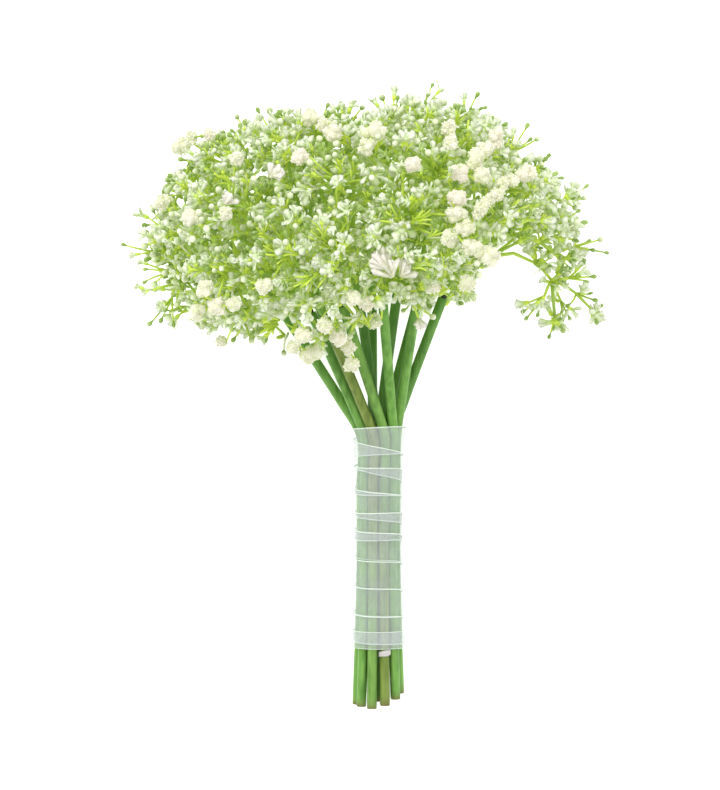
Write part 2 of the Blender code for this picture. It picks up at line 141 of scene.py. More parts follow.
# Finer growth: umbels at the ends of the branches and along them.
GROWTH_SEED = 31
PEDICEL_LENGTH = 0.0088
FAN_CENTRE = np.array((0.0, 0.0, 0.193))
RIM_DRAW = 0.07
SIDE_MARKS = (0.36, 0.54, 0.72, 0.88)
SIDE_LENGTH = (0.009, 0.017)
UMBEL_COUNTS = {"bud": (5, 7), "lime": (6, 9), "white": (6, 9)}
RIM_FROM, RIM_BUDS = 0.84, 0.60
LIME_CHANCE, BUD_CHANCE, KIND_FALL = 0.42, 0.54, 0.22
SPARSE_END = (-0.100, 0.212)
HAND_SET_END = (0.057, 0.236)
SLIM_SHARE = 0.62
ARCH_STEP, ARCH_MOST = 0.004, 0.050
OUTER_SHELL, OUTER_SPACING = (0.86, 0.96), 0.0112
INNER_SHELL, INNER_SPACING = (0.50, 0.86), 0.0114
SPARSE_REACH, SIDE_UMBEL, INNER_UMBEL = 0.0085, 0.0050, 0.0070
LEAF_SHARE = 0.40
LEAF_LENGTHS, LEAF_WIDTH = (0.0035, 0.0065), 0.0011
PALE_SHARE = 0.65
SPARSE_SHARE = 0.75
FILL_TRIALS = 6000
FILL_REACH = 0.060
PEDICEL_RADII = (0.00056, 0.00045)
TWIG_RADII = (0.00085, 0.00062)

# Ribbon: one narrow strip wound down the stems. Height of the strip's middle where it crosses the left
# and the right edge of the bunch, turn by turn.
RIBBON_WIDTH = 0.0140
RIBBON_SIDES = (
    (0.1322, 0.1335), (0.1270, 0.1198), (0.1137, 0.1121), (0.1030, 0.0987), (0.0910, 0.0903),
    (0.0822, 0.0792), (0.0681, 0.0652), (0.0544, 0.0519), (0.0408, 0.0387), (0.0347, 0.0343),
)
RIBBON_END_WIDTH = 0.0086
RIBBON_CLEAR = 0.00070
RIBBON_LIFT = 0.00016
RIBBON_TOP = 0.1412
RIBBON_FLARE = 0.1335
RIBBON_SWELL = 0.0019
RIBBON_LEAN = -0.0005
RIBBON_THICK = 0.00006
RIBBON_RIPPLE = 0.00006
RIBBON_STEPS = 36
RIBBON_LINES = 9
SELVEDGE = 0.00048

# Small white band round one stem under the ribbon.
BAND_STEM = 1
BAND_CENTRE_Z = 0.0279
BAND_HEIGHT = 0.0028
BAND_SLANT = math.radians(9.0)
BAND_CLEAR = 0.00035
BAND_THICK = 0.00022
BAND_STEPS = 40
BAND_SIDES = 12

# Stage.
FLOOR_SIZE = 3.0
FLOOR_LINES = 41

# Camera: the plane through the bunch's axis fills the picture at half a millimetre to the pixel.
VIEW_CENTRE = (-0.0092, 0.1562)
VIEW_HEIGHT = 0.395
VIEW_DISTANCE = 1.5
SENSOR = 36.0

# A way that no part of the bunch lies along, and the turn that spreads things evenly round an axis.
OFF_AXIS = (0.31, 0.87, 0.38)
GOLDEN_TURN = 2.39996


def laid(points):
    """Places of the upright frame, as rows, where the bunch lies."""
    points = np.asarray(points, dtype=float)
    sink, rise = math.sin(LIE_TILT), math.cos(LIE_TILT)
    x, y, z = points[..., 0], points[..., 1], points[..., 2]
    return np.stack((
        x + BOX_CENTRE[0],
        y * sink + z * rise + BOX_CENTRE[1],
        -y * rise + z * sink + FLOOR_REACH * rise,
    ), axis=-1)


def unit(way):
    way = np.asarray(way, dtype=float)
    return way / np.maximum(np.linalg.norm(way, axis=-1, keepdims=True), 1e-12)


def on_line(start, end, share):
    return start + (end - start) * share


def on_bend(root, middle, end, share):
    """Along a bend: (1-s)^2 root + 2s(1-s) middle + s^2 end."""
    return root * (1 - share) ** 2 + middle * 2 * share * (1 - share) + end * share ** 2


def cubic_steps(knots, slopes, span, t, width):
    """Smooth steps through knots with given slopes: in each span, t runs from 0 to 1 over its width."""
    return (knots[span] * (2 * t**3 - 3 * t**2 + 1) + slopes[span] * width * (t**3 - 2 * t**2 + t)
            + knots[span + 1] * (3 * t**2 - 2 * t**3) + slopes[span + 1] * width * (t**3 - t**2))


def run_along(points):
    """Distance from the first point to each, along the line through them."""
    return np.concatenate(((0.0,), np.cumsum(np.linalg.norm(np.diff(points, axis=0), axis=1))))


def sides_of(way):
    """Two ways square to a way and to each other."""
    across = unit(np.cross(way, OFF_AXIS))
    return across, np.cross(way, across)


def grid_faces(rows, columns):
    """Four-sided faces of a grid whose vertices run along its rows."""
    row, column = np.meshgrid(np.arange(rows - 1), np.arange(columns - 1), indexing="ij")
    corner = row * columns + column
    return np.stack((corner, corner + columns, corner + columns + 1, corner + 1), axis=-1).reshape(-1, 4)


def shown(name, data):
    """A new object at the origin of the scene."""
    thing = bpy.data.objects.new(name, data)
    bpy.context.scene.collection.objects.link(thing)
    return thing


# The solid sprays' own growth, repeated so that the finer ones stand where they do.

def ring_radius(height):
    heights, radii = zip(*RING_PROFILE)
    return np.interp(height, heights, radii)


def stem_base(index, height):
    """Centre of a stem in the straight part of the bunch."""
    if index < RING_COUNT:
        turn = RING_TURN + index * math.tau / RING_COUNT
        radius = float(ring_radius(height))
    else:
        turn = INNER_TURN + (index - RING_COUNT) * math.tau / INNER_COUNT
        radius = float(ring_radius(height)) * INNER_SHARE
    return np.array((radius * math.sin(turn), -radius * math.cos(turn), height))


def stem_path(index):
    """Points up one stem, from its cut end to its joint."""
    joint = np.array(JOINTS[index])
    heights = [CUTS[index]] + [height for height, _ in RING_PROFILE[1:]]
    points = [stem_base(index, height) for height in heights]
    foot = points[-1]
    for step in range(1, FLARE_STEPS + 1):
        share = step / FLARE_STEPS
        point = on_line(foot, joint, share)
        spread = share ** FLARE_POWER
        point[0] = foot[0] + (joint[0] - foot[0]) * spread
        point[1] = foot[1] + (joint[1] - foot[1]) * spread
        points.append(point)
    return points


def dome_radius(angle):
    angles, radii = zip(*OUTLINE)
    return np.interp(np.degrees(angle) % 360.0, angles, radii, period=360.0)


def floor_limit(height, standoff):
    """Furthest y towards the surface that the bunch lies on."""
    return height * math.tan(LIE_TILT) + FLOOR_REACH - standoff / math.cos(LIE_TILT)


def in_notch(point):
    across = (point[0] - NOTCH_CENTRE[0]) / NOTCH_SIZE[0]
    along = (point[2] - NOTCH_CENTRE[1]) / NOTCH_SIZE[1]
    return across * across + along * along < 1.0


def dome_place(way, size, standoff):
    """A place in the dome along a way from its centre, and whether it lies on the open underside."""
    radius = dome_radius(math.atan2(way[2], way[0]))
    depth = DOME_FRONT if way[1] < 0.0 else DOME_BACK
    point = DOME_CENTRE + size * np.array((way[0] * radius, way[1] * depth, way[2] * radius))
    point[1] = min(point[1], floor_limit(point[2], standoff))
    flat = math.hypot(way[0], way[2])
    return point, flat > OPEN_SIDE and way[2] < -OPEN_DOWN * flat and way[1] > OPEN_FRONT


def tip_targets(rng):
    """Places for the flowers, spread evenly over the dome."""
    accepted = []
    for _ in range(TIP_TRIALS):
        way = rng.normal(size=3)
        way /= np.linalg.norm(way)
        point, underside = dome_place(way, 1.0 - TIP_SINK * rng.random(), BUD_RADIUS - FLOOR_SINK)
        if in_notch(point) or underside:
            continue
        if accepted and np.min(np.linalg.norm(np.array(accepted) - point, axis=1)) < TIP_SPACING:
            continue
        accepted.append(point)
    return np.array(accepted)


def group_points(points, count):
    """Split points into groups round centres that settle in their middles."""
    centres = [points[0]]
    while len(centres) < count:
        gaps = np.min([np.linalg.norm(points - centre, axis=1) for centre in centres], axis=0)
        centres.append(points[int(np.argmax(gaps))])
    centres = np.array(centres)
    for _ in range(GROUP_ROUNDS):
        owner = np.argmin(np.linalg.norm(points[:, None] - centres[None], axis=2), axis=1)
        for index in range(count):
            if np.any(owner == index):
                centres[index] = points[owner == index].mean(axis=0)
    return [points[owner == index] for index in range(count) if np.any(owner == index)]


def segment_gaps(start, end, starts, ends):
    """Distance from one segment to each of many."""
    first = end - start
    others = ends - starts
    offset = start - starts
    a = float(first @ first)
    e = np.einsum("ij,ij->i", others, others)
    f = np.einsum("ij,ij->i", others, offset)
    c = offset @ first
    b = others @ first
    spread = a * e - b * b
    s = np.where(spread > 1e-18, np.clip((b * f - c * e) / np.where(spread > 1e-18, spread, 1.0), 0, 1), 0.0)
    t = (b * s + f) / e
    t_in = np.clip(t, 0.0, 1.0)
    s = np.clip((b * t_in - c) / a, 0.0, 1.0)
    gaps = offset + s[:, None] * first - t_in[:, None] * others
    return np.linalg.norm(gaps, axis=1)


class Room:
    """Round-ended rods already placed, each with the piece that owns it."""

    def __init__(self):
        self.starts = np.zeros((0, 3))
        self.ends = np.zeros((0, 3))
        self.radii = np.zeros(0)
        self.owners = np.zeros(0, dtype=int)

    def add(self, owner, path):
        for (start, first), (end, second) in zip(path[:-1], path[1:]):
            self.starts = np.vstack((self.starts, start))
            self.ends = np.vstack((self.ends, end))
            self.radii = np.append(self.radii, max(first, second))
            self.owners = np.append(self.owners, owner)

    def is_clear(self, owner, path):
        others = self.owners != owner
        starts, ends, radii = self.starts[others], self.ends[others], self.radii[others]
        for (start, first), (end, second) in zip(path[:-1], path[1:]):
            gaps = segment_gaps(start, end, starts, ends) - radii - max(first, second)
            if np.min(gaps) < CLEAR_GAP:
                return False
        return True


class Spray:
    """One flower spray: the joint that it stands on, its branches and its tips."""

    def __init__(self, index, path):
        self.index = index
        self.joint = path[-1]
        self.heading = unit(path[-1] - path[-2])
        self.branches = []
        self.tips = []
        across = np.cross(self.heading, (0.0, 1.0, 0.0))
        across /= np.linalg.norm(across)
        beside = np.cross(self.heading, across)
        turns = [slot * math.tau / BRANCH_SLOTS for slot in range(BRANCH_SLOTS)]
        self.slots = [across * math.cos(turn) + beside * math.sin(turn) for turn in turns]

    def cup_path(self):
        marks = ((SEAT_GAP + 0.00005, NECK_RADIUS), (NECK_LENGTH, NECK_RADIUS), (CUP_LENGTH, CUP_RADIUS))
        return [(self.joint + self.heading * mark, radius) for mark, radius in marks]

    def branch_path(self, hub, rng, bend):
        """A branch that leaves the cup along the stem and curves over to its hub."""
        axis_root = self.joint + self.heading * BRANCH_ROOT
        slot = max(self.slots, key=lambda side: float(side @ (hub - axis_root)))
        root = axis_root + slot * BRANCH_SPREAD
        reach = np.linalg.norm(hub - root)
        middle = root + self.heading * reach * BRANCH_ARCH + rng.normal(size=3) * bend
        path = []
        for step in range(BRANCH_STEPS + 1):
            share = step / BRANCH_STEPS
            path.append((on_bend(root, middle, hub, share), on_line(*BRANCH_RADII, share)))
        return path, (root, middle, hub)

    def take_slot(self, root):
        """Leave the place in the cup where a branch stands out of the later choices."""
        if len(self.slots) > 1:
            side = root - self.joint
            taken = int(np.argmax([float(slot @ side) for slot in self.slots]))
            self.slots.pop(taken)


def grow_branches(sprays, room, targets, rng):
    """Give each group of flowers a branch from the nearest spray that can reach it."""
    reaches = np.array(REACHES)
    owner = np.argmin(np.linalg.norm(targets[:, None] - reaches[None], axis=2), axis=1)
    groups = []
    for spray in sprays:
        mine = targets[owner == spray.index]
        groups += group_points(mine, max(1, round(len(mine) / TIPS_PER_HUB)))
    for group in groups:
        middle = group.mean(axis=0)
        order = np.argsort(np.linalg.norm(reaches - middle, axis=1))[:SPRAY_CHOICES]
        placed = False
        for index in order:
            spray = sprays[index]
            anchor = spray.joint + spray.heading * ANCHOR_AHEAD
            back = anchor - middle
            hub = middle + back / np.linalg.norm(back) * HUB_BACK
            for attempt in range(BRANCH_TRIES):
                path, bends = spray.branch_path(hub, rng, BRANCH_BEND * attempt)
                if room.is_clear(spray.index, path[1:]):
                    room.add(spray.index, path)
                    spray.branches.append((path, group, bends))
                    spray.take_slot(path[0][0])
                    placed = True
                    break
            if placed:
                break


def grow_tips(sprays, room, rng):
    """The stalk and head at each place that its branch can reach."""
    for spray in sprays:
        for path, group, _ in spray.branches:
            end, radius = path[-1]
            inward = path[-2][0] - end
            inward /= np.linalg.norm(inward)
            ahead = sorted(group, key=lambda target: float(inward @ (target - end)))
            for place, target in enumerate(ahead):
                root = end + inward * (radius + place * STALK_PITCH)
                opened = rng.random() < OPEN_SHARE
                way = (target - root) / np.linalg.norm(target - root)
                head = FLOWER_RADIUS if opened else BUD_RADIUS
                stalk = [(root, STALK_RADIUS), (target, STALK_RADIUS)]
                rise = FLOWER_LENGTH if opened else BUD_RADIUS
                crown = [(target + way * rise * 0.4, head * 0.5), (target + way * rise, head)]
                if room.is_clear(spray.index, stalk) and room.is_clear(spray.index, crown):
                    room.add(spray.index, stalk)
                    room.add(spray.index, crown)
                    spray.tips.append((root, target, opened))


# Surfaces: every piece is rings carried along paths, worked out for many forms at once.

def ring_topology(rings, sides):
    """Four-sided and three-sided faces of one closed form: a pole, its rings and a second pole."""
    ring, side = np.meshgrid(np.arange(rings - 1), np.arange(sides), indexing="ij")
    after = (side + 1) % sides
    here = 1 + ring * sides
    quads = np.stack((here + side, here + after, here + sides + after, here + sides + side), axis=-1)
    side = np.arange(sides)
    after = (side + 1) % sides
    last = 1 + (rings - 1) * sides
    foot = np.stack((np.zeros_like(side), 1 + after, 1 + side), axis=-1)
    head = np.stack((np.full_like(side, 1 + rings * sides), last + side, last + after), axis=-1)
    return quads.reshape(-1, 4), np.concatenate((foot, head))


class Surface:
    """Closed forms gathered for one piece, with their finish and their two marks for the materials."""

    def __init__(self):
        self.verts, self.quads, self.tris = [], [], []
        self.quad_finish, self.tri_finish = [], []
        self.age, self.tone = [], []
        self.count = 0

    def add(self, places, quads, tris, finish, age, tone):
        """places: forms by vertices by three; quads and tris: the faces of one form."""
        forms, size = places.shape[:2]
        shift = self.count + np.arange(forms)[:, None, None] * size
        self.verts.append(places.reshape(-1, 3))
        self.quads.append((quads[None] + shift).reshape(-1, 4))
        self.tris.append((tris[None] + shift).reshape(-1, 3))
        self.quad_finish.append(np.full(forms * len(quads), finish))
        self.tri_finish.append(np.full(forms * len(tris), finish))
        self.age.append(np.broadcast_to(age, (forms, size)).ravel())
        self.tone.append(np.broadcast_to(tone, (forms, size)).ravel())
        self.count += forms * size

    def add_rings(self, centres, ways, wide, thick, sides, finish, age, tone, guide=None):
        """Rings round each centre, square to its way, wide by thick. The first and last centres are the
        poles. centres is forms by places by three; wide, thick and age are forms by places."""
        if guide is None:
            chord = unit(centres[:, -1] - centres[:, 0])
            guide = np.where(np.abs(chord[:, 2:3]) < 0.8, (0.0, 0.0, 1.0), (1.0, 0.0, 0.0))
        across = unit(np.cross(ways, guide[:, None]))
        beside = np.cross(ways, across)
        turn = np.arange(sides) * math.tau / sides
        inner = slice(1, -1)
        rings = (centres[:, inner, None]
                 + across[:, inner, None] * (np.cos(turn)[:, None] * wide[:, inner, None, None])
                 + beside[:, inner, None] * (np.sin(turn)[:, None] * thick[:, inner, None, None]))
        forms, count = rings.shape[:2]
        places = np.concatenate((centres[:, :1], rings.reshape(forms, -1, 3), centres[:, -1:]), axis=1)
        tone = np.broadcast_to(np.asarray(tone).reshape(forms, -1), age.shape)
        ages, tones = (
            np.concatenate((mark[:, :1], np.repeat(mark[:, inner], sides, axis=1), mark[:, -1:]), axis=1)
            for mark in (age, tone))
        quads, tris = ring_topology(count, sides)
        self.add(places, quads, tris, finish, ages, tones)

    def add_rods(self, rods, sides, steps, finish):
        """Rods along a bend. Each row is a root, an elbow and an end, the radii at both ends, the age marks
        at both ends, and a tone."""
        roots, elbows, ends, *pairs, tone = np.split(rods, (3, 6, 9, 10, 11, 12, 13), axis=1)
        roots, elbows, ends = (part[:, None] for part in (roots, elbows, ends))
        s = np.linspace(0.0, 1.0, steps + 1)
        s = np.concatenate((s[:1], s, s[-1:]))[None, :, None]
        ways = unit((elbows - roots) * (1 - s) + (ends - elbows) * s)
        size, ages = (on_line(*pair, s[..., 0]) for pair in (pairs[:2], pairs[2:]))
        self.add_rings(on_bend(roots, elbows, ends, s), ways, size, size, sides, finish, ages, tone)

    def add_heads(self, heads, profile, sides, finish, foot, top):
        """Turned forms such as buds. Each row is a base, a way, a length, a radius, a tone and a share of
        painted light, nought deep inside the bunch, where the forms are painted in shade, and one at its
        surface. The profile gives share of length and share of radius; foot and top are the age marks of the
        two ends, as a value and what the painted light adds."""
        if not heads:
            return
        bases, ways, lengths, radii, tone, painted_lightness = np.split(np.array(heads), (3, 6, 7, 8, 9), axis=1)
        marks, sizes = np.array(profile).T
        centres = bases[:, None] + ways[:, None] * (marks[None] * lengths)[..., None]
        size = sizes[None] * radii
        ages = on_line(foot[0] + foot[1] * painted_lightness, top[0] + top[1] * painted_lightness, marks[None])
        ways = np.repeat(ways[:, None], len(marks), axis=1)
        self.add_rings(centres, ways, size, size, sides, finish, ages, tone)

    def add_petals(self, petals, profile, thick, finish, foot, top):
        """Flat pointed forms. Each row is a base, a way, the side that it bends towards, a length, a width, a
        curl, a tone and a share of painted light, as for the heads. The middle line is base + s length way +
        s^2 length curl side, the width follows the profile, and foot and top are the age marks as for the
        heads."""
        if not petals:
            return
        bases, ways, faces, lengths, widths, curls, tone, painted_lightness = np.split(
            np.array(petals), (3, 6, 9, 10, 11, 12, 13), axis=1)
        marks, sizes = np.array(profile).T
        run = (marks[None] * lengths)[..., None]
        bow = (marks[None] ** 2 * lengths * curls)[..., None]
        centres = bases[:, None] + ways[:, None] * run + faces[:, None] * bow
        slopes = unit(ways[:, None] + faces[:, None] * (2 * marks[None] * curls)[..., None])
        wide = sizes[None] * widths
        flat = np.full_like(wide, thick) * (0.35 + 0.65 * sizes[None])
        ages = on_line(foot[0] + foot[1] * painted_lightness, top[0] + top[1] * painted_lightness, marks[None])
        self.add_rings(centres, slopes, wide, flat, 4, finish, ages, tone, guide=faces)

    def make(self, name, finishes):
        """The gathered forms as one mesh object, laid down, nothing under the floor."""
        places = laid(np.concatenate(self.verts))
        places[:, 2] = np.maximum(places[:, 2], 0.0)
        quads, tris = np.concatenate(self.quads), np.concatenate(self.tris)
        mesh = bpy.data.meshes.new(name)
        mesh.vertices.add(len(places))
        mesh.vertices.foreach_set("co", places.ravel())
        mesh.loops.add(quads.size + tris.size)
        mesh.loops.foreach_set("vertex_index", np.concatenate((quads.ravel(), tris.ravel())).astype(np.int32))
        sizes = np.concatenate((np.full(len(quads), 4), np.full(len(tris), 3)))
        mesh.polygons.add(len(sizes))
        starts = np.concatenate(((0,), np.cumsum(sizes)[:-1]))
        mesh.polygons.foreach_set("loop_start", starts.astype(np.int32))
        slots = np.concatenate(self.quad_finish + self.tri_finish)
        mesh.polygons.foreach_set("material_index", slots.astype(np.int32))
        mesh.polygons.foreach_set("use_smooth", np.ones(len(sizes), dtype=bool))
        for mark, values in (("age", self.age), ("tone", self.tone)):
            layer = mesh.attributes.new(mark, "FLOAT", "POINT")
            layer.data.foreach_set("value", np.concatenate(values).astype(np.float32))
        mesh.update(calc_edges=True)
        mesh.validate()
        for finish in finishes:
            mesh.materials.append(finish)
        return shown(name, mesh)


# Materials.

COLOUR, NUMBER = "NodeSocketColor", "NodeSocketFloat"
STEM_GREENS = (0.098, 0.252, 0.042, 1), (0.210, 0.430, 0.092, 1)
STEM_BROWNS = (0.140, 0.130, 0.022, 1), (0.275, 0.265, 0.055, 1)
STEM_BRIGHT = (0.240, 0.500, 0.090, 1)
STEM_PAINTED_SHADE = (0.040, 0.140, 0.014, 1)
STEM_WORN = (0.190, 0.130, 0.052, 1)
RIBBON_COLOURS = (0.82, 0.87, 0.88, 1), (0.86, 0.97, 0.88, 1)
TAPE_COLOURS = (0.56, 0.53, 0.50, 1), (0.70, 0.66, 0.65, 1)
FLOOR_COLOURS = (0.92, 0.92, 0.92, 1), (0.94, 0.94, 0.94, 1)
THREAD_PITCH = 0.0005


def new_group(name, inputs, outputs):
    """An empty node group with named sockets: (name, socket type, value) in, (name, socket type) out."""
    group = bpy.data.node_groups.new(name, "ShaderNodeTree")
    for label, kind, value in inputs:
        socket = group.interface.new_socket(label, in_out="INPUT", socket_type=kind)
        socket.default_value = value
    for label, kind in outputs:
        group.interface.new_socket(label, in_out="OUTPUT", socket_type=kind)
    return group, group.nodes.new("NodeGroupInput"), group.nodes.new("NodeGroupOutput")


def feed(tree, node, inputs):
    """Put sockets or plain values into a node's inputs."""
    for key, value in dict(inputs).items():
        if isinstance(value, bpy.types.NodeSocket):
            tree.links.new(value, node.inputs[key])
        else:
            node.inputs[key].default_value = value


def add_node(tree, kind, inputs=(), **settings):
    node = tree.nodes.new(kind)
    for key, value in settings.items():
        setattr(node, key, value)
    feed(tree, node, inputs)
    return node


def mixed(tree, factor, first, second, blend="MIX"):
    """Two colours mixed."""
    inputs = {0: factor, 6: first, 7: second}
    return add_node(tree, "ShaderNodeMix", inputs, data_type="RGBA", blend_type=blend).outputs[2]


def reckoned(tree, operation, first, second=0.0, third=0.0, **settings):
    inputs = {0: first, 1: second, 2: third}
    return add_node(tree, "ShaderNodeMath", inputs, operation=operation, **settings).outputs[0]


def ranged(tree, value, low, high, to_low=0.0, to_high=1.0):
    inputs = {0: value, 1: low, 2: high, 3: to_low, 4: to_high}
    return add_node(tree, "ShaderNodeMapRange", inputs).outputs[0]


def object_place(tree):
    return add_node(tree, "ShaderNodeTexCoord").outputs["Object"]


def noise(tree, scale, detail=3.0, vector=None):
    place = object_place(tree) if vector is None else vector
    inputs = {"Vector": place, "Scale": scale, "Detail": detail}
    return add_node(tree, "ShaderNodeTexNoise", inputs).outputs["Fac"]


def surface_mark(tree, name):
    """The age or tone mark of the surface."""
    return add_node(tree, "ShaderNodeAttribute", attribute_name=name).outputs["Fac"]


def cloth_map(tree):
    """Shares along and across the cloth."""
    cloth = add_node(tree, "ShaderNodeUVMap", uv_map="cloth")
    return add_node(tree, "ShaderNodeSeparateXYZ", {0: cloth.outputs["UV"]}).outputs


def moulded_colour():
    """Colour of a moulded plastic part: from its root colour to its end colour by its age mark, lighter or
    darker from part to part by its tone mark, with uneven dye. The age mark also carries painted shade: forms
    deep inside the bunch are held nearer the darker root colour."""
    group, inside, outside = new_group(
        "moulded colour",
        (("Root", COLOUR, (1, 1, 1, 1)), ("End", COLOUR, (1, 1, 1, 1)), ("Odd", COLOUR, (1, 1, 1, 1)),
         ("Odd share", NUMBER, 0.3), ("Mottle", NUMBER, 90.0)),
        (("Colour", COLOUR), ("Roughness", NUMBER), ("Height", NUMBER)),
    )
    given = inside.outputs
    dye = noise(group, given["Mottle"])
    patch = ranged(group, dye, 0.30, 0.70)
    wobble = reckoned(group, "MULTIPLY_ADD", patch, 0.30, -0.15)
    step = reckoned(group, "ADD", surface_mark(group, "age"), wobble, use_clamp=True)
    base = mixed(group, step, given["Root"], given["End"])
    odd = ranged(group, surface_mark(group, "tone"), 0.62, 0.95)
    base = mixed(group, reckoned(group, "MULTIPLY", odd, given["Odd share"]), base, given["Odd"])
    light = reckoned(group, "MULTIPLY_ADD", patch, 0.16, 0.86)
    shade = add_node(group, "ShaderNodeCombineColor", {0: light, 1: light, 2: light})
    feed(group, outside, {
        "Colour": mixed(group, 1.0, base, shade.outputs[0], blend="MULTIPLY"),
        "Roughness": ranged(group, dye, 0.2, 0.8, 0.38, 0.62),
        "Height": noise(group, 1400.0, 2.0),
    })
    return group


def new_material(name):
    material = bpy.data.materials.new(name)
    material.use_nodes = True
    return material, material.node_tree, material.node_tree.nodes["Principled BSDF"]


def bumped(tree, height, strength, distance):
    bump = add_node(tree, "ShaderNodeBump", {"Height": height, "Strength": strength, "Distance": distance})
    return bump.outputs["Normal"]


def moulded_material(group, name, root, end, odd, odd_share, mottle, painted_glow, through):
    """Moulded plastic that follows the age and tone marks. The last two arguments are the strength and the
    tint of an emission: painted light that lifts the plastic's shaded parts, though the plastic is no lamp,
    standing in for light let through thin bright plastic."""
    material, tree, shader = new_material(name)
    dye = add_node(tree, "ShaderNodeGroup", node_tree=group)
    feed(tree, dye, {"Root": (*root, 1), "End": (*end, 1), "Odd": (*odd, 1), "Odd share": odd_share,
                     "Mottle": mottle})
    colour = dye.outputs["Colour"]
    feed(tree, shader, {
        "Base Color": colour,
        "Roughness": dye.outputs["Roughness"],
        # Painted light: an emission in the plastic's own colour, tinted, brightens its shaded parts as much
        # as its lit ones.
        "Emission Color": mixed(tree, 1.0, colour, (*through, 1), blend="MULTIPLY"),
        "Emission Strength": painted_glow,
        "Normal": bumped(tree, dye.outputs["Height"], 0.15, 0.0002),
    })
    return material


def stem_material():
    """Extruded green plastic: long streaks up the stem; by the tone mark a brownish-green cast on some stems
    and, where the mark is below nought, painted shade, a deeper green on the stems at the back; worn beige at
    the cut by the age mark."""
    material, tree, shader = new_material("stem_plastic")
    long_way = add_node(tree, "ShaderNodeMapping", {"Vector": object_place(tree), "Scale": (1.0, 0.06, 1.0)})
    streak = noise(tree, 420.0, 4.0, long_way.outputs["Vector"])
    line = ranged(tree, streak, 0.35, 0.68)
    bright = ranged(tree, noise(tree, 55.0), 0.40, 0.75, 0.0, 0.45)
    green = mixed(tree, bright, mixed(tree, line, *STEM_GREENS), STEM_BRIGHT)
    brown = mixed(tree, line, *STEM_BROWNS)
    olive_and_shade = surface_mark(tree, "tone")
    tube = mixed(tree, olive_and_shade, green, brown)
    # Painted shade: a tone mark below nought darkens the stem towards a deep green.
    tube = mixed(tree, reckoned(tree, "MULTIPLY", olive_and_shade, -1.0), tube, STEM_PAINTED_SHADE)
    rough = ranged(tree, noise(tree, 900.0), 0.30, 0.62, 0.40, 1.0)
    frayed = reckoned(tree, "MULTIPLY", surface_mark(tree, "age"), rough)
    feed(tree, shader, {
        "Base Color": mixed(tree, frayed, tube, STEM_WORN),
        "Roughness": ranged(tree, streak, 0.3, 0.7, 0.34, 0.52),
        "Specular IOR Level": 0.22,
        "Normal": bumped(tree, streak, 0.25, 0.0002),
    })
    return material


def woven():
    """Plain weave: threads both ways as sine ridges, over and under by turns."""
    group, inside, outside = new_group(
        "plain weave",
        (("Threads along", NUMBER, 900.0), ("Threads across", NUMBER, 40.0)),
        (("Thread", NUMBER), ("Height", NUMBER)),
    )
    cloth = cloth_map(group)
    waves = []
    for axis, count in (("X", "Threads along"), ("Y", "Threads across")):
        turns = reckoned(group, "MULTIPLY", cloth[axis], inside.outputs[count])
        waves.append(reckoned(group, "SINE", reckoned(group, "MULTIPLY", turns, math.tau)))
    feed(group, outside, {
        "Thread": reckoned(group, "MAXIMUM", *(reckoned(group, "ABSOLUTE", wave) for wave in waves)),
        "Height": reckoned(group, "MULTIPLY_ADD", reckoned(group, "MULTIPLY", *waves), 0.5, 0.5),
    })
    return group


def organza_material(group, length):
    """Sheer white cloth: see-through between its threads, closed and bright along both selvedges."""
    material, tree, shader = new_material("ribbon_organza")
    threads = {"Threads along": length / THREAD_PITCH, "Threads across": RIBBON_WIDTH / THREAD_PITCH}
    weave = add_node(tree, "ShaderNodeGroup", node_tree=group)
    feed(tree, weave, threads)
    middle = reckoned(tree, "ABSOLUTE", reckoned(tree, "SUBTRACT", cloth_map(tree)["Y"], 0.5))
    selvedge = SELVEDGE / RIBBON_WIDTH
    edge = ranged(tree, middle, 0.5 - 1.35 * selvedge, 0.5 - 0.75 * selvedge)
    sheer = reckoned(tree, "ADD", ranged(tree, weave.outputs["Thread"], 0.3, 1.0, 0.12, 0.19),
                     ranged(tree, noise(tree, 120.0), 0.3, 0.7, -0.02, 0.04))
    feed(tree, shader, {
        "Base Color": mixed(tree, edge, *RIBBON_COLOURS),
        "Roughness": 0.55,
        "Sheen Weight": 0.25,
        "Alpha": reckoned(tree, "MAXIMUM", sheer, reckoned(tree, "MULTIPLY", edge, 0.85)),
        "Normal": bumped(tree, weave.outputs["Height"], 0.2, 0.0001),
    })
    return material


def tape_material(group):
    """Close white tape."""
    material, tree, shader = new_material("band_tape")
    weave = add_node(tree, "ShaderNodeGroup", node_tree=group)
    feed(tree, weave, {"Threads along": 60.0, "Threads across": 12.0})
    cloud = ranged(tree, noise(tree, 300.0), 0.3, 0.7)
    feed(tree, shader, {
        "Base Color": mixed(tree, cloud, *TAPE_COLOURS),
        "Roughness": 0.6,
        "Normal": bumped(tree, weave.outputs["Height"], 0.3, 0.0001),
    })
    return material


# Stems.

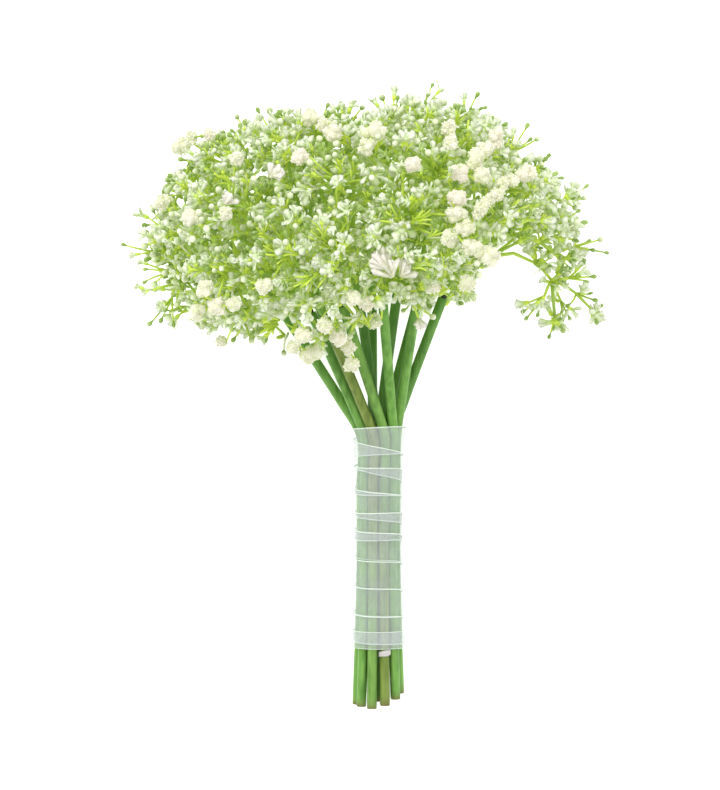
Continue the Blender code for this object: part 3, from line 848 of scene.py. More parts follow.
def stem_piece(index, path, material):
    """A tube with a worn cut end, a rounded lip and a hole in its top. The path is smoothed by cubic
    steps between its points, and the wall has shallow ridges: radius + depth cos(k turn)."""
    points = np.array(path)
    run = run_along(points)
    slopes = np.gradient(points, run, axis=0)
    stops = np.linspace(0.0, run[-1], int(run[-1] / STEM_PITCH) + 1)
    span = np.clip(np.searchsorted(run, stops, side="right") - 1, 0, len(run) - 2)
    width = (run[span + 1] - run[span])[:, None]
    middle = cubic_steps(points, slopes, span, (stops - run[span])[:, None] / width, width)
    heading = unit(np.gradient(middle, axis=0))
    cut, top = np.array(CUT_RINGS), np.array(TOP_RINGS)
    centres = np.concatenate((
        middle[0] + heading[0] * cut[:, :1], middle[1:-1], middle[-1] + heading[-1] * top[:, :1]))
    ways = np.concatenate((
        np.repeat(heading[:1], len(cut), axis=0), heading[1:-1], np.repeat(heading[-1:], len(top), axis=0)))
    sizes = np.concatenate((cut[:, 1], np.ones(len(middle) - 2), top[:, 1])) * STEM_RADIUS
    from_cut = np.linalg.norm(centres - middle[0], axis=1)
    worn = np.clip(1.0 - from_cut / WORN_LENGTH, 0.0, 1.0) ** 1.5
    worn[:len(cut) - 1] = 1.0
    # The tone mark: a brownish-green cast above nought, painted shade below it.
    olive_and_shade = np.interp(centres[:, 2], OLIVE_AND_SHADE_CHANGE, OLIVE_AND_SHADED_STEMS.get(index, (0.0, 0.0)))
    surface = Surface()
    surface.add_rings(centres[None], ways[None], sizes[None], sizes[None], STEM_SIDES, 0, worn[None],
                      olive_and_shade[None], guide=np.array(((0.0, 1.0, 0.0),)))
    body = surface.verts[0][1:-1].reshape(-1, STEM_SIDES, 3)
    turn = np.arange(STEM_SIDES) * math.tau / STEM_SIDES
    ridge = RIDGE_DEPTH * (np.cos(5 * turn + index) + 0.7 * np.cos(8 * turn + 2.0 * index))
    body += unit(body - centres[1:-1, None]) * ridge[None, :, None]
    return surface.make(f"stem_{index + 1:02d}_tube", [material])


# Flower sprays.

# Profiles: share of the length and share of the radius or width.
ROUND_BUD = ((0.0, 0.0), (0.0, 0.34), (0.22, 0.82), (0.52, 1.0), (0.82, 0.70), (1.0, 0.0))
DROP_BUD = ((0.0, 0.0), (0.0, 0.30), (0.25, 0.46), (0.55, 0.95), (0.82, 0.80), (1.0, 0.0))
CALYX = ((0.0, 0.0), (0.0, 0.45), (0.35, 0.95), (1.0, 1.0), (1.0, 0.0))
THROAT = ((0.0, 0.0), (0.0, 0.62), (0.6, 0.80), (1.0, 1.0), (0.95, 0.0))
PETAL_SHAPE = ((0.0, 0.0), (0.04, 0.42), (0.50, 0.72), (0.84, 1.0), (1.0, 0.0))
LEAF = ((0.0, 0.0), (0.05, 0.50), (0.45, 1.0), (0.85, 0.75), (1.0, 0.0))
CRUMB = ((0.0, 0.0), (0.10, 0.80), (0.65, 0.95), (1.0, 0.0))
CORE = ((0.0, 0.0), (0.08, 0.55), (0.30, 0.95), (0.65, 1.0), (0.90, 0.62), (1.0, 0.0))
# Neck and cup: distance along the stem from the joint, and radius.
NECK_RINGS = ((-0.0026, 0.0), (-0.0026, 0.0014), (0.0001, 0.0014), (0.0003, 0.00155), (0.0012, 0.0016),
              (0.0014, 0.00148), (0.0030, 0.0015), (0.0030, 0.0))
CUP_RINGS = ((0.0022, 0.0), (0.0022, 0.0017), (0.0028, 0.0020), (0.0050, 0.00215), (0.0070, 0.00255),
             (0.0085, 0.0029), (0.0093, 0.0027), (0.0096, 0.0))

GREEN, BUD, PETAL, CREAM, NECK = range(5)
# The five plastics in that order: name, colour at the root, at the end and of odd ones, share of odd ones,
# fineness of the mottle, and the strength and tint of an emission that paints light into the plastic and
# lifts its shade.
PLASTICS = (
    ("sprig_plastic", (0.165, 0.335, 0.028), (0.590, 0.745, 0.090), (0.120, 0.280, 0.030), 0.60, 90.0,
     0.25, (1.0, 0.95, 0.8)),
    ("bud_plastic", (0.220, 0.350, 0.060), (0.800, 0.830, 0.660), (0.560, 0.670, 0.270), 0.30, 160.0,
     0.20, (1.0, 1.0, 0.7)),
    ("petal_plastic", (0.480, 0.650, 0.150), (0.740, 0.770, 0.680), (0.660, 0.740, 0.530), 0.40, 220.0,
     0.25, (0.95, 1.0, 0.70)),
    ("cream_blossom", (0.600, 0.640, 0.370), (0.820, 0.795, 0.730), (0.810, 0.715, 0.665), 0.55, 260.0,
     0.21, (1.0, 1.0, 0.85)),
    ("neck_rubber", (0.020, 0.024, 0.018), (0.020, 0.024, 0.018), (0.030, 0.036, 0.026), 0.3, 200.0,
     0.0, (1.0, 1.0, 1.0)),
)

# Age marks at the foot and the top of a form, as a value and what the painted light at the surface of the
# bunch adds; deep inside, the forms stay darker as painted shade.
PETAL_AGES = ((-0.3, 0.5), (0.35, 0.75))
THROAT_AGES = ((-0.2, 0.2), (0.0, 0.6))

# Sizes of flowers, buds and blossoms, and the radii of what carries them.
CALYX_SIZE = (0.0016, 0.00086)
THROAT_SIZE = (0.0019, 0.00115)
THROAT_SEAT, PETAL_SEAT = 0.0012, 0.0021
PETAL_LENGTH, PETAL_WIDTH = 0.0037, 0.0072
FLOWER_SIZES = (1.05, 1.60)
FLOWER_STAND = 0.0046
ROUND_SIZES = (0.00145, 0.00200)
DROP_SIZES = (0.00110, 0.00150)
STICK_SIZE = (0.0042, 0.00094)
SCATTER = 0.25
CRUMB_COUNT = 12
CRUMB_LENGTHS, CRUMB_WIDTHS = (0.0008, 0.0013), (0.0006, 0.0009)
PLEAT_COUNT = 13
PLEAT_SWING = 0.50
PLEAT_WIDTHS = (0.0013, 0.0021)
MAIN_RADII = (0.00120, 0.00078)
THICK_ROD = 0.001
BLOSSOM_RADII, PLEATED_RADII = (0.00060, 0.00045), (0.00060, 0.00055)
SPRIG_RADIUS, FORK_RADIUS = 0.00100, 0.00072
UMBEL_STANDOFF = 0.0016
# A blossom hangs from another one within this reach. The least gaps keep a carrying branch clear of what it
# carries.
HANG_REACH = 0.0125
BLOSSOM_GAP, TUFT_GAP, SPRIG_GAP = 0.008, 0.006, 0.004
FORK_TUFT_STALKS, FORK_TUFT_REACH = 6, 0.0065
FRONT_TUFT_STALKS, FRONT_TUFT_REACHES = 7, {"stick": 0.0130, "white": 0.0080}

# Cream blossoms, listed where the bunch shows them, seen from the front, in millimetres: x, z, radius, length
# and the lean of the length from level, in degrees.
CREAM_BLOSSOMS = (
    (-37, 185, 4.2, 9, 70), (-33.2, 176.4, 5.2, 12, 25), (-41.5, 179.6, 3.3, 7, 60),
    (-26.4, 189.4, 3.6, 8, -40), (-20, 184, 4.2, 10, -50), (-14.8, 179.4, 4, 8, -60),
    (-13, 171, 3.9, 8, 60), (-6, 200.6, 4.4, 9, 30), (-12.7, 202.6, 4, 8, 10), (-2.4, 192.2, 3.8, 9, 15),
    (-55.2, 208.2, 4, 9, 30), (-88.7, 196.2, 4.1, 9, 60), (-78.7, 199.2, 4.5, 10, 80),
    (-78.2, 182.7, 2.7, 6, 0), (-90.7, 241.7, 4.2, 9, 20), (-73.5, 243.2, 3.5, 7, 0),
    (-68.2, 269.7, 3.3, 7, 60), (-97.2, 278.2, 4.3, 11, 40), (-92, 282, 3.2, 8, 70),
    (-82.7, 283.2, 2.9, 6, 10), (-105.7, 249.7, 4.1, 9, 50), (42.3, 209.7, 4.3, 9, 60),
    (52.3, 222.7, 5.2, 13, -25), (44.5, 226.5, 4.4, 11, -20), (48.5, 245.5, 3.3, 12, 50),
    (55.5, 251.5, 3.5, 10, 30), (38.3, 262.2, 4.6, 10, -20), (49.3, 261.2, 4.5, 9, 70),
    (46.3, 269.5, 4.8, 12, 80), (51, 274, 3.6, 9, 60), (34.3, 277.2, 3.5, 9, 85), (33.5, 285.2, 3.4, 9, 80),
    (56.3, 280.2, 3.9, 12, 80), (62, 258.5, 4, 12, 20), (71, 263, 4.2, 12, 25), (-2.2, 282.2, 5.4, 13, 30),
    (-6.5, 275, 4.2, 10, 60), (15.8, 266.2, 4.2, 9, 0), (36.3, 242.7, 4.6, 10, 10),
    (33.3, 230.7, 4.2, 9, 60), (-22, 283, 4.6, 11, 0), (-38, 270, 4, 9, 30), (26.5, 208.5, 3.6, 7, 80),
    (-33, 291, 4.4, 10, 20), (-27, 287, 3.8, 8, 50), (37, 250, 4.4, 10, 0), (41, 236, 4.4, 10, 35),
    (-84, 208, 4.2, 10, 70), (-70, 200, 3.8, 8, 20),
)
# Pleated blossoms: x, z, length and lean.
PLEATED_BLOSSOMS = (
    (3, 219, 15, 116), (-0.4, 220, 11, 138), (13.8, 216.4, 10, 48), (-50.2, 263.5, 8, 60),
    (-47.5, 262, 7, 20), (-72, 250.5, 7, 55), (20.5, 190.5, 6.5, -70),
)
HANGING_DEPTH = 0.034

DROP, ROUND, FLOWER, STICK = range(4)
# Kinds of umbel: how far each opens, and its forms, each with the chance below which it is taken.
UMBELS = {
    "stick": (0.62, ((0.75, STICK), (1.0, DROP))),
    "bud": (0.62, ((0.50, DROP), (0.64, ROUND), (1.0, FLOWER))),
    "lime": (0.88, ((0.44, STICK), (0.58, DROP), (0.76, ROUND), (1.0, FLOWER))),
    "white": (0.88, ((0.44, FLOWER), (0.68, ROUND), (0.78, DROP), (1.0, STICK))),
}

# Sprigs listed one by one: the drooping one at the right, then those that stand out round the rim. Each has
# the number of the sprig that carries it, or none for the nearest branch; its fork in millimetres; the height
# of its arch; and its tips, as x, z and form, seen from the front.
HAND_SPRIGS = (
    (None, (56.8, -12, 225.2), 0, ()),
    (0, (77.6, -7, 222), 3, ((73.7, 229, FLOWER), (82, 227, FLOWER))),
    (0, (67.3, -8, 233.7), 0, ()),
    (1, (86.3, -6, 213.2), 1, ((80.5, 214, FLOWER),)),
    (3, (82, -17, 205.2), 1,
     ((72.9, 194, DROP), (69, 200.9, FLOWER), (78.5, 195.7, DROP), (75, 198.5, FLOWER), (71.5, 197.5, DROP),
      (79.5, 200, FLOWER))),
    (3, (91.5, 6, 203.5), 0, ((96, 194.5, DROP), (87, 206, FLOWER), (100, 198, FLOWER), (93, 193, STICK))),
    (3, (88.4, 4, 195.7), 0,
     ((85.8, 185.4, DROP), (90.1, 188.4, FLOWER), (84.5, 201.6, FLOWER), (83, 192, FLOWER),
      (92.5, 199, STICK))),
    (3, (99.1, 2, 207), 1,
     ((108.6, 203.5, DROP), (94.8, 200.9, DROP), (107.5, 207.5, STICK), (103, 211, FLOWER))),
    (7, (107, 8, 199.4), 0, ((112.5, 201.3, DROP), (112, 195.7, FLOWER), (109.5, 192.5, DROP))),
    (3, (94, -14, 214), 0,
     ((102.1, 222, DROP), (103.6, 218.1, FLOWER), (106.4, 214.7, DROP), (99.5, 221, FLOWER),
      (104, 212, STICK))),
    (1, (87.1, 6, 227.6), 0,
     ((96.5, 219.4, DROP), (92, 222.5, FLOWER), (94, 229, STICK), (89, 233.5, FLOWER))),
    (10, (97.5, 12, 230.5), 0,
     ((106.5, 234, DROP), (112, 234.5, ROUND), (115.5, 228, DROP), (104, 228, FLOWER), (108, 229, DROP))),
    (10, (80.5, -12, 231.5), 0,
     ((74.5, 234, FLOWER), (84, 236.5, FLOWER), (79, 237.5, ROUND), (76, 228.5, ROUND))),
    (12, (88.5, -3, 235.5), 0, ((96, 236, FLOWER), (93.5, 240, ROUND), (99, 233, DROP), (91, 230, FLOWER))),
    (12, (94, 8, 225), 0,
     ((101, 226.5, FLOWER), (98.5, 221, ROUND), (103.5, 224, DROP), (90, 218.5, FLOWER))),
    (None, (89.5, -14, 241), 0, ((102.6, 241.8, DROP), (99.1, 247.4, DROP), (98, 243.5, FLOWER))),
    (None, (91, 6, 253.4), 0,
     ((103, 254.7, ROUND), (97.5, 254.6, DROP), (104.7, 261.2, DROP), (99.1, 262, FLOWER))),
    (None, (16, -30, 203), 0,
     ((26.4, 194.4, ROUND), (17.5, 199, ROUND), (22.5, 196.5, FLOWER), (12, 197.5, DROP))),
    (None, (-51, 4, 286), 0, ((-60.6, 299.5, DROP), (-54.6, 299.1, ROUND), (-48.1, 298.5, DROP))),
    (None, (-62, -8, 284), 0, ((-70.5, 294.8, ROUND), (-66, 292, DROP), (-60, 294, FLOWER))),
    (None, (-30, 0, 289), 0, ((-35.2, 298.3, ROUND), (-25.3, 301.4, DROP), (-18.8, 301.8, DROP))),
    (None, (-74, -12, 272), 0, ((-77.4, 283.6, DROP), (-81, 281, FLOWER), (-73, 285, ROUND))),
    (None, (-86, -4, 268), 0,
     ((-96, 279, FLOWER), (-92, 275.5, FLOWER), (-89, 280.5, ROUND), (-98.5, 273.5, DROP),
      (-84, 277.5, STICK), (-90.5, 270.5, FLOWER))),
    (None, (-88, 2, 259), 0, ((-97.2, 269, DROP), (-101.5, 266.3, DROP), (-92.9, 269.5, ROUND))),
    (None, (-107, -4, 239), 0, ((-120.4, 247, FLOWER), (-112.7, 248.5, DROP), (-117, 241, DROP))),
    (None, (-113, 4, 228), 0, ((-127.8, 231.5, DROP), (-116, 237.5, DROP), (-124.5, 226.5, FLOWER))),
    (None, (-104, -6, 217), 0,
     ((-116.3, 218.8, DROP), (-116.7, 212.4, DROP), (-111.8, 211, ROUND), (-119, 222.5, FLOWER))),
    (None, (-103, -2, 205), 2,
     ((-114, 191.5, DROP), (-108.4, 193.2, DROP), (-101.9, 191, DROP), (-109.5, 200, FLOWER))),
    (None, (-66, -16, 192.5), 0, ((-71.8, 183.3, DROP), (-62.8, 183, ROUND), (-60, 190, DROP))),
    (None, (22, 2, 297), 0,
     ((27.2, 312, DROP), (32.4, 310.3, FLOWER), (25, 306.7, ROUND), (17.5, 306, FLOWER))),
    (None, (6, -6, 291), 0,
     ((9.6, 303.9, DROP), (1.8, 304.4, ROUND), (-3, 303.5, FLOWER), (8, 309, FLOWER))),
    (None, (-15, -4, 289), 0,
     ((-18.5, 301, FLOWER), (-12.5, 303, FLOWER), (-8, 300, ROUND), (-23, 299, FLOWER),
      (-15.5, 298, FLOWER))),
    (None, (44, 3, 293), 0, ((49.6, 306.4, DROP), (53.5, 300, DROP), (43, 306, FLOWER))),
    (None, (64, -8, 276), 0,
     ((74.2, 290.5, DROP), (79, 283.6, ROUND), (75.5, 283.3, DROP), (67, 288, FLOWER))),
    (None, (76, 4, 264), 0, ((85.5, 276.3, DROP), (92, 265, DROP), (83, 271, FLOWER))),
)

# Tufts on the forks above: the fork's number, then where the tuft stands, in millimetres.
FORK_TUFTS = (
    (1, (82, -5, 232)), (1, (90, 2, 229)), (0, (74, -12, 236)), (3, (95, 4, 221)), (3, (91, -12, 209.5)),
    (6, (89, 8, 190.5)), (10, (99, -4, 226)), (1, (86.5, -12, 220)), (3, (89.5, -15, 215.5)),
    (8, (109.5, 10, 195)),
)
# Tufts at the front of the dome, where it is thin or where long lime stalks show: x, z and kind.
FRONT_TUFTS = (
    (-88, 237, "white"), (79, 250, "white"), (12, 282, "white"), (-42, 206, "stick"), (-30, 209, "stick"),
    (-18, 214, "stick"), (-54, 217, "stick"), (-62, 209, "stick"), (26, 217, "stick"), (19, 232, "stick"),
    (-8, 231, "stick"), (-34, 228, "stick"), (64, 244, "stick"), (2, 246, "stick"), (-76, 222, "stick"),
    (36, 222, "stick"), (2.5, 204.5, "white"), (18.5, 205.5, "white"),
)

# Places that stay open, seen from the front: x, z and the two half sizes.
OPENINGS = (
    (0.0690, 0.2110, 0.0120, 0.0105), (0.0560, 0.2060, 0.0090, 0.0140), (-0.1280, 0.2740, 0.0215, 0.0270),
    (-0.0640, 0.1740, 0.0160, 0.0080), (-0.0490, 0.1880, 0.0085, 0.0080),
    (0.0345, 0.2015, 0.0085, 0.0070), (-0.0995, 0.2720, 0.0060, 0.0055),
)


def ring_ways(way, turn):
    """Ways square to one way, one at each turn about it."""
    across, beside = sides_of(way)
    return across * np.cos(turn)[:, None] + beside * np.sin(turn)[:, None]


def around(way, count, tilt, rng):
    """Ways leaning by tilt from one way, evenly turned about it with some scatter."""
    turn = (np.arange(count) / count) * math.tau + rng.random() * math.tau + rng.normal(size=count) * SCATTER
    lean = tilt + rng.normal(size=count) * SCATTER * 0.5
    out = ring_ways(way, turn)
    return unit(way * np.cos(lean)[:, None] + out * np.sin(lean)[:, None]), out


class Growth:
    """Forms of one finer spray, gathered by kind before they become surfaces."""

    def __init__(self):
        self.rods, self.pale, self.buds, self.drops, self.calyxes, self.leaves = ([] for _ in range(6))
        self.petals, self.pleats, self.crumbs, self.throats, self.cores = ([] for _ in range(5))

    def rod(self, root, elbow, end, radii, ages, tone):
        self.rods.append((*root, *elbow, *end, *radii, *ages, tone))

    def flower(self, base, way, size, openness, petals, painted_lightness, rng):
        """A calyx, a pale throat and broad blunt petals that open out of it. They are painted lime deep
        inside the bunch, as painted shade, and white at its surface."""
        tone = rng.random()
        self.calyxes.append((*base, *way, *(part * size for part in CALYX_SIZE), tone, 0.0))
        seat = base + way * THROAT_SEAT * size
        self.throats.append((*seat, *way, *(part * size for part in THROAT_SIZE), tone, painted_lightness))
        throat = base + way * PETAL_SEAT * size
        ways, out = around(way, petals, openness, rng)
        lengths = PETAL_LENGTH * size * (1 + 0.18 * rng.normal(size=petals))
        for lean, side, length in zip(ways, out, lengths):
            face = unit(side - lean * float(side @ lean) + rng.normal(size=3) * 0.18)
            width = PETAL_WIDTH / (petals + 0.6) * size * rng.uniform(0.75, 1.15)
            self.petals.append((*throat, *lean, *face, length, width, rng.uniform(-0.35, 0.65), tone, painted_lightness))

    def head(self, tip, way, form, painted_lightness, rng):
        """A drop-shaped green bud, a round white one, a flower or a bare green point, near tip. Gives where
        its stalk ends."""
        tone = rng.random()
        if form == FLOWER:
            size = rng.uniform(*FLOWER_SIZES)
            base = tip - way * FLOWER_STAND * size
            openness = rng.uniform(0.20, 0.45) if rng.random() < 0.3 else rng.uniform(0.45, 1.0)
            self.flower(base, way, size, openness, int(rng.integers(4, 6)), painted_lightness, rng)
        elif form == ROUND:
            size = rng.uniform(*ROUND_SIZES)
            base = tip - way * size
            self.buds.append((*base, *way, size * 2.1, size, tone, painted_lightness))
        elif form == DROP:
            size = rng.uniform(*DROP_SIZES)
            base = tip - way * size * 2
            self.drops.append((*base, *way, size * 3.2, size, tone, 1.0))
        else:
            base = tip - way * 0.0030
            self.drops.append((*(base - way * 0.0008), *way, *STICK_SIZE, tone, 1.0))
        return base

    def ball(self, centre, way, length, radius, painted_lightness, rng):
        """A rough blossom: soft lumps packed along a short line, each set all over with blunt crumbs."""
        tone = rng.random()
        lumps = int(4 + 3.2 * length / radius * 0.5)
        across, beside = sides_of(way)
        order = np.arange(CRUMB_COUNT)
        height = 1 - 2 * (order + 0.5) / CRUMB_COUNT
        flat = np.sqrt(1 - height ** 2)
        for number in range(lumps):
            turn = number * GOLDEN_TURN + rng.random()
            place = (number + 0.5) / lumps - 0.5 + 0.06 * rng.normal()
            narrow = 1.0 - 0.5 * abs(2 * place) ** 2
            aside = (across * math.cos(turn) + beside * math.sin(turn)) * radius * 0.48 * narrow
            middle = centre + way * place * (length - radius) + aside
            size = radius * rng.uniform(0.46, 0.62)
            axis = unit(way + rng.normal(size=3) * 0.6)
            self.cores.append((*(middle - axis * size), *axis, size * 2.0, size, tone, painted_lightness))
            swing = order * GOLDEN_TURN + rng.random() * math.tau
            out = np.stack((np.cos(swing) * flat, np.sin(swing) * flat, height), axis=-1)
            seats = middle + out * size * 0.78
            leans = unit(out + rng.normal(size=(CRUMB_COUNT, 3)) * 0.30)
            faces = unit(np.cross(leans, rng.normal(size=(CRUMB_COUNT, 3))))
            for seat, lean, face in zip(seats, leans, faces):
                self.crumbs.append((*seat, *lean, *face, rng.uniform(*CRUMB_LENGTHS),
                                    rng.uniform(*CRUMB_WIDTHS), rng.uniform(0.0, 0.3),
                                    tone * 0.5 + 0.5 * rng.random(), painted_lightness * rng.uniform(0.8, 1.0)))

    def fan(self, base, way, face, length, rng):
        """A large pleated blossom: crumpled petals in layers that spread from one side to the other."""
        side = unit(np.cross(way, face))
        swings = np.linspace(-PLEAT_SWING, PLEAT_SWING, PLEAT_COUNT) + rng.normal(size=PLEAT_COUNT) * 0.13
        tone = rng.random()
        for index, swing in enumerate(swings):
            lean = unit(way * math.cos(swing) + side * math.sin(swing) + face * rng.uniform(-0.1, 0.45))
            reach = length * (1.0 - 0.14 * abs(swing)) * rng.uniform(0.62, 1.05)
            seat = base + face * 0.0005 * (index % 3)
            turned = unit(face + side * rng.normal() * 0.7)
            self.pleats.append((*seat, *lean, *turned, reach, rng.uniform(*PLEAT_WIDTHS),
                                rng.uniform(-0.30, 0.30), tone, 1.0))


def in_dome(point):
    """Share of the way out to the dome's outline, and of its depth."""
    offset = point - DOME_CENTRE
    radius = dome_radius(math.atan2(offset[2], offset[0]))
    depth = DOME_FRONT if offset[1] < 0.0 else DOME_BACK
    return math.hypot(offset[0], offset[2]) / radius, abs(offset[1]) / depth


def in_openings(points):
    x, z = points[..., 0], points[..., 2]
    return np.any([((x - left) / half) ** 2 + ((z - low) / tall) ** 2 < 1.0
                   for left, low, half, tall in OPENINGS], axis=0)


def above_floor(points, standoff):
    """Points pushed up so that none is nearer the floor than the standoff."""
    points[:, 1] = np.minimum(points[:, 1], floor_limit(points[:, 2], standoff))
    return points


def grow_umbel(growth, root, target, kind, count, reach, rng):
    """A twig that ends in a tuft of stiff pedicels round its axis. Each leaves the twig a little further
    back the more it leans: tip = fork - step axis + length (axis cos lean + side sin lean)."""
    chord = target - root
    length = np.linalg.norm(chord)
    fan = unit((target - FAN_CENTRE) * np.array((1.0, 0.0, 1.0)))
    axis = unit(chord / length * 0.55 + fan * 0.70 + rng.normal(size=3) * 0.24)
    fork = target - axis * reach * 0.9 if length > reach * 1.6 else root + chord * 0.35
    tone = rng.random()
    growth.rod(root, root + chord * 0.35, fork, TWIG_RADII, (0.35, 0.62), tone)
    # Painted shade by depth: forms deep inside the dome get darker lime colours, those near its surface white
    # ones, and pale stalks grow mostly near the surface.
    flat, depth = in_dome(target)
    painted_lightness = float(np.clip((flat * flat + depth * depth - 0.45) / 0.35, 0.0, 1.0))
    share = (np.arange(count) + rng.random(count)) / count
    opening, forms = UMBELS[kind]
    lean = opening * np.sqrt(share)
    turn = np.arange(count) * GOLDEN_TURN + rng.random() * math.tau
    ways = axis * np.cos(lean)[:, None] + ring_ways(axis, turn) * np.sin(lean)[:, None]
    roots = fork - axis * (share * reach * 0.35)[:, None]
    tips = roots + ways * (reach * rng.uniform(0.70, 1.25, size=count))[:, None]
    tips = above_floor(tips, UMBEL_STANDOFF)
    for number in np.flatnonzero(~in_openings(tips)):
        tip, start = tips[number], roots[number]
        chance = rng.random()
        form = next(form for limit, form in forms if chance < limit)
        elbow = start + axis * reach * 0.30 + (tip - start) * 0.25
        seat = growth.head(tip, unit(tip - elbow), form, painted_lightness, rng)
        if form in (ROUND, FLOWER) and rng.random() < PALE_SHARE * painted_lightness:
            growth.pale.append((*start, *elbow, *seat, *PEDICEL_RADII, 0.40, 0.95, rng.random()))
        else:
            growth.rod(start, elbow, seat, PEDICEL_RADII, (0.62, 1.0), rng.random())
    if rng.random() < LEAF_SHARE:
        ways, out = around(axis, 3, 0.6, rng)
        for way, side in zip(ways, out):
            face = unit(side - way * float(side @ way))
            length = rng.uniform(*LEAF_LENGTHS)
            growth.leaves.append((*fork, *way, *face, length, LEAF_WIDTH, 0.25, tone, 0.0))


def kind_at(point, rng):
    """Kind of umbel for a place on the dome: green buds at its rim, lime sticks towards its middle, flowers
    everywhere between."""
    flat, _ = in_dome(point)
    chance = rng.random()
    if flat > RIM_FROM and chance < RIM_BUDS:
        return "bud"
    fall = KIND_FALL * flat
    return "lime" if chance < LIME_CHANCE - fall else "bud" if chance < BUD_CHANCE - fall else "white"


def is_sparse(point):
    """The left drooping end of the bunch, where single twigs show."""
    return point[0] < SPARSE_END[0] and point[2] < SPARSE_END[1]


def is_set_by_hand(point):
    """The right drooping end, which the listed sprigs fill."""
    return point[0] > HAND_SET_END[0] and point[2] < HAND_SET_END[1]


def crown_umbel(growth, root, target, rng):
    """An umbel at the surface of the dome, drawn in a little at the rim, where single sprigs stand out."""
    if is_set_by_hand(target):
        return
    if is_sparse(target):
        if rng.random() < SPARSE_SHARE:
            grow_umbel(growth, root, target, "bud", int(rng.integers(2, 4)), SPARSE_REACH, rng)
        return
    flat, _ = in_dome(target)
    drawn = RIM_DRAW * np.clip((flat - 0.75) / 0.20, 0.0, 1.0)
    target = target + (DOME_CENTRE - target) * np.array((drawn, 0.0, drawn))
    kind = kind_at(target, rng)
    count = int(rng.integers(*UMBEL_COUNTS[kind]))
    grow_umbel(growth, root, target, kind, count, PEDICEL_LENGTH, rng)


def lifted(root, middle, hub):
    """The bend of a branch, arched higher where it would cross a place that stays open."""
    share = np.linspace(0.2, 0.95, 16)[:, None]
    arch = np.zeros(3)
    while arch[2] < ARCH_MOST and np.any(in_openings(on_bend(root, middle + arch, hub, share))):
        arch[2] += ARCH_STEP
    return middle + arch


def nearest_place(places, point):
    return places[int(np.argmin(np.linalg.norm(places - point, axis=1)))]


def grow_spray(spray, growth, rng):
    """The finer spray on the branches of a solid one."""
    seats = []
    for _, _, (root, middle, hub) in spray.branches:
        if is_set_by_hand(hub):
            continue
        middle = lifted(root, middle, hub)
        tone = rng.random()
        slim = SLIM_SHARE if is_sparse(hub) else 1.0
        growth.rod(root, middle, hub, [radius * slim for radius in MAIN_RADII], (0.0, 0.55), tone)
        seats.append(on_bend(root, middle, hub, np.linspace(0.35, 1.0, 20)[:, None]))
        for mark in np.repeat(SIDE_MARKS, 2):
            share = mark + rng.uniform(-0.05, 0.05)
            seat = on_bend(root, middle, hub, share)
            along = unit((middle - root) * (1 - share) + (hub - middle) * share)
            sideways = unit(np.cross(along, rng.normal(size=3)))
            target = seat + unit(along * 0.8 + sideways) * rng.uniform(*SIDE_LENGTH)
            flat, depth = in_dome(target)
            outside = flat * flat + depth * depth > 0.93 or target[2] < 0.212
            if not (outside or is_sparse(target) or is_set_by_hand(target)):
                grow_umbel(growth, seat, target, "lime", int(rng.integers(3, 6)), SIDE_UMBEL, rng)
    seats = np.concatenate(seats)
    for root, target, _ in spray.tips:
        crown_umbel(growth, nearest_place(seats, root), target, rng)
    return seats


def nearest_seat(seats, owners, point, least):
    """The place on a branch that can best carry something at a point: near, but no nearer than least, and
    further inside the dome."""
    way = point - seats
    gap = np.linalg.norm(way, axis=1)
    outward = way @ unit(point - DOME_CENTRE)
    cost = gap + np.where(gap < least, 1.0, 0.0) + np.where(outward < 0.3 * gap, 0.010, 0.0)
    best = int(np.argmin(cost))
    return seats[best], owners[best], gap[best]


def fill_shell(growths, seats, owners, placed, shell, spacing, inner, rng):
    """More umbels where a shell of the dome is thin, each on the nearest branch."""
    for _ in range(FILL_TRIALS):
        way = unit(rng.normal(size=3))
        point, underside = dome_place(way, rng.uniform(*shell), BUD_RADIUS)
        if underside or in_openings(point) or is_sparse(point) or is_set_by_hand(point):
            continue
        if np.min(np.linalg.norm(np.array(placed) - point, axis=1)) < spacing:
            continue
        seat, owner, gap = nearest_seat(seats, owners, point, BLOSSOM_GAP)
        if gap < FILL_REACH:
            placed.append(point)
            if inner:
                grow_umbel(growths[owner], seat, point, "lime", int(rng.integers(4, 6)), INNER_UMBEL, rng)
            else:
                crown_umbel(growths[owner], seat, point, rng)


def front_surface(x, z):
    """The place on the front of the dome, or before the stems under it, for a place seen from the front."""
    flat, _ = in_dome(np.array((x, 0.0, z)))
    depth = -DOME_FRONT * math.sqrt(max(1.0 - flat * flat, 0.0)) * 0.98
    return np.array((x, min(depth, -HANGING_DEPTH if z < 0.215 and x > -0.05 else depth), z))


def leaning(lean, back):
    """A way that leans from level by so many degrees seen from the front, and leads back."""
    return unit((math.cos(math.radians(lean)), back, math.sin(math.radians(lean))))


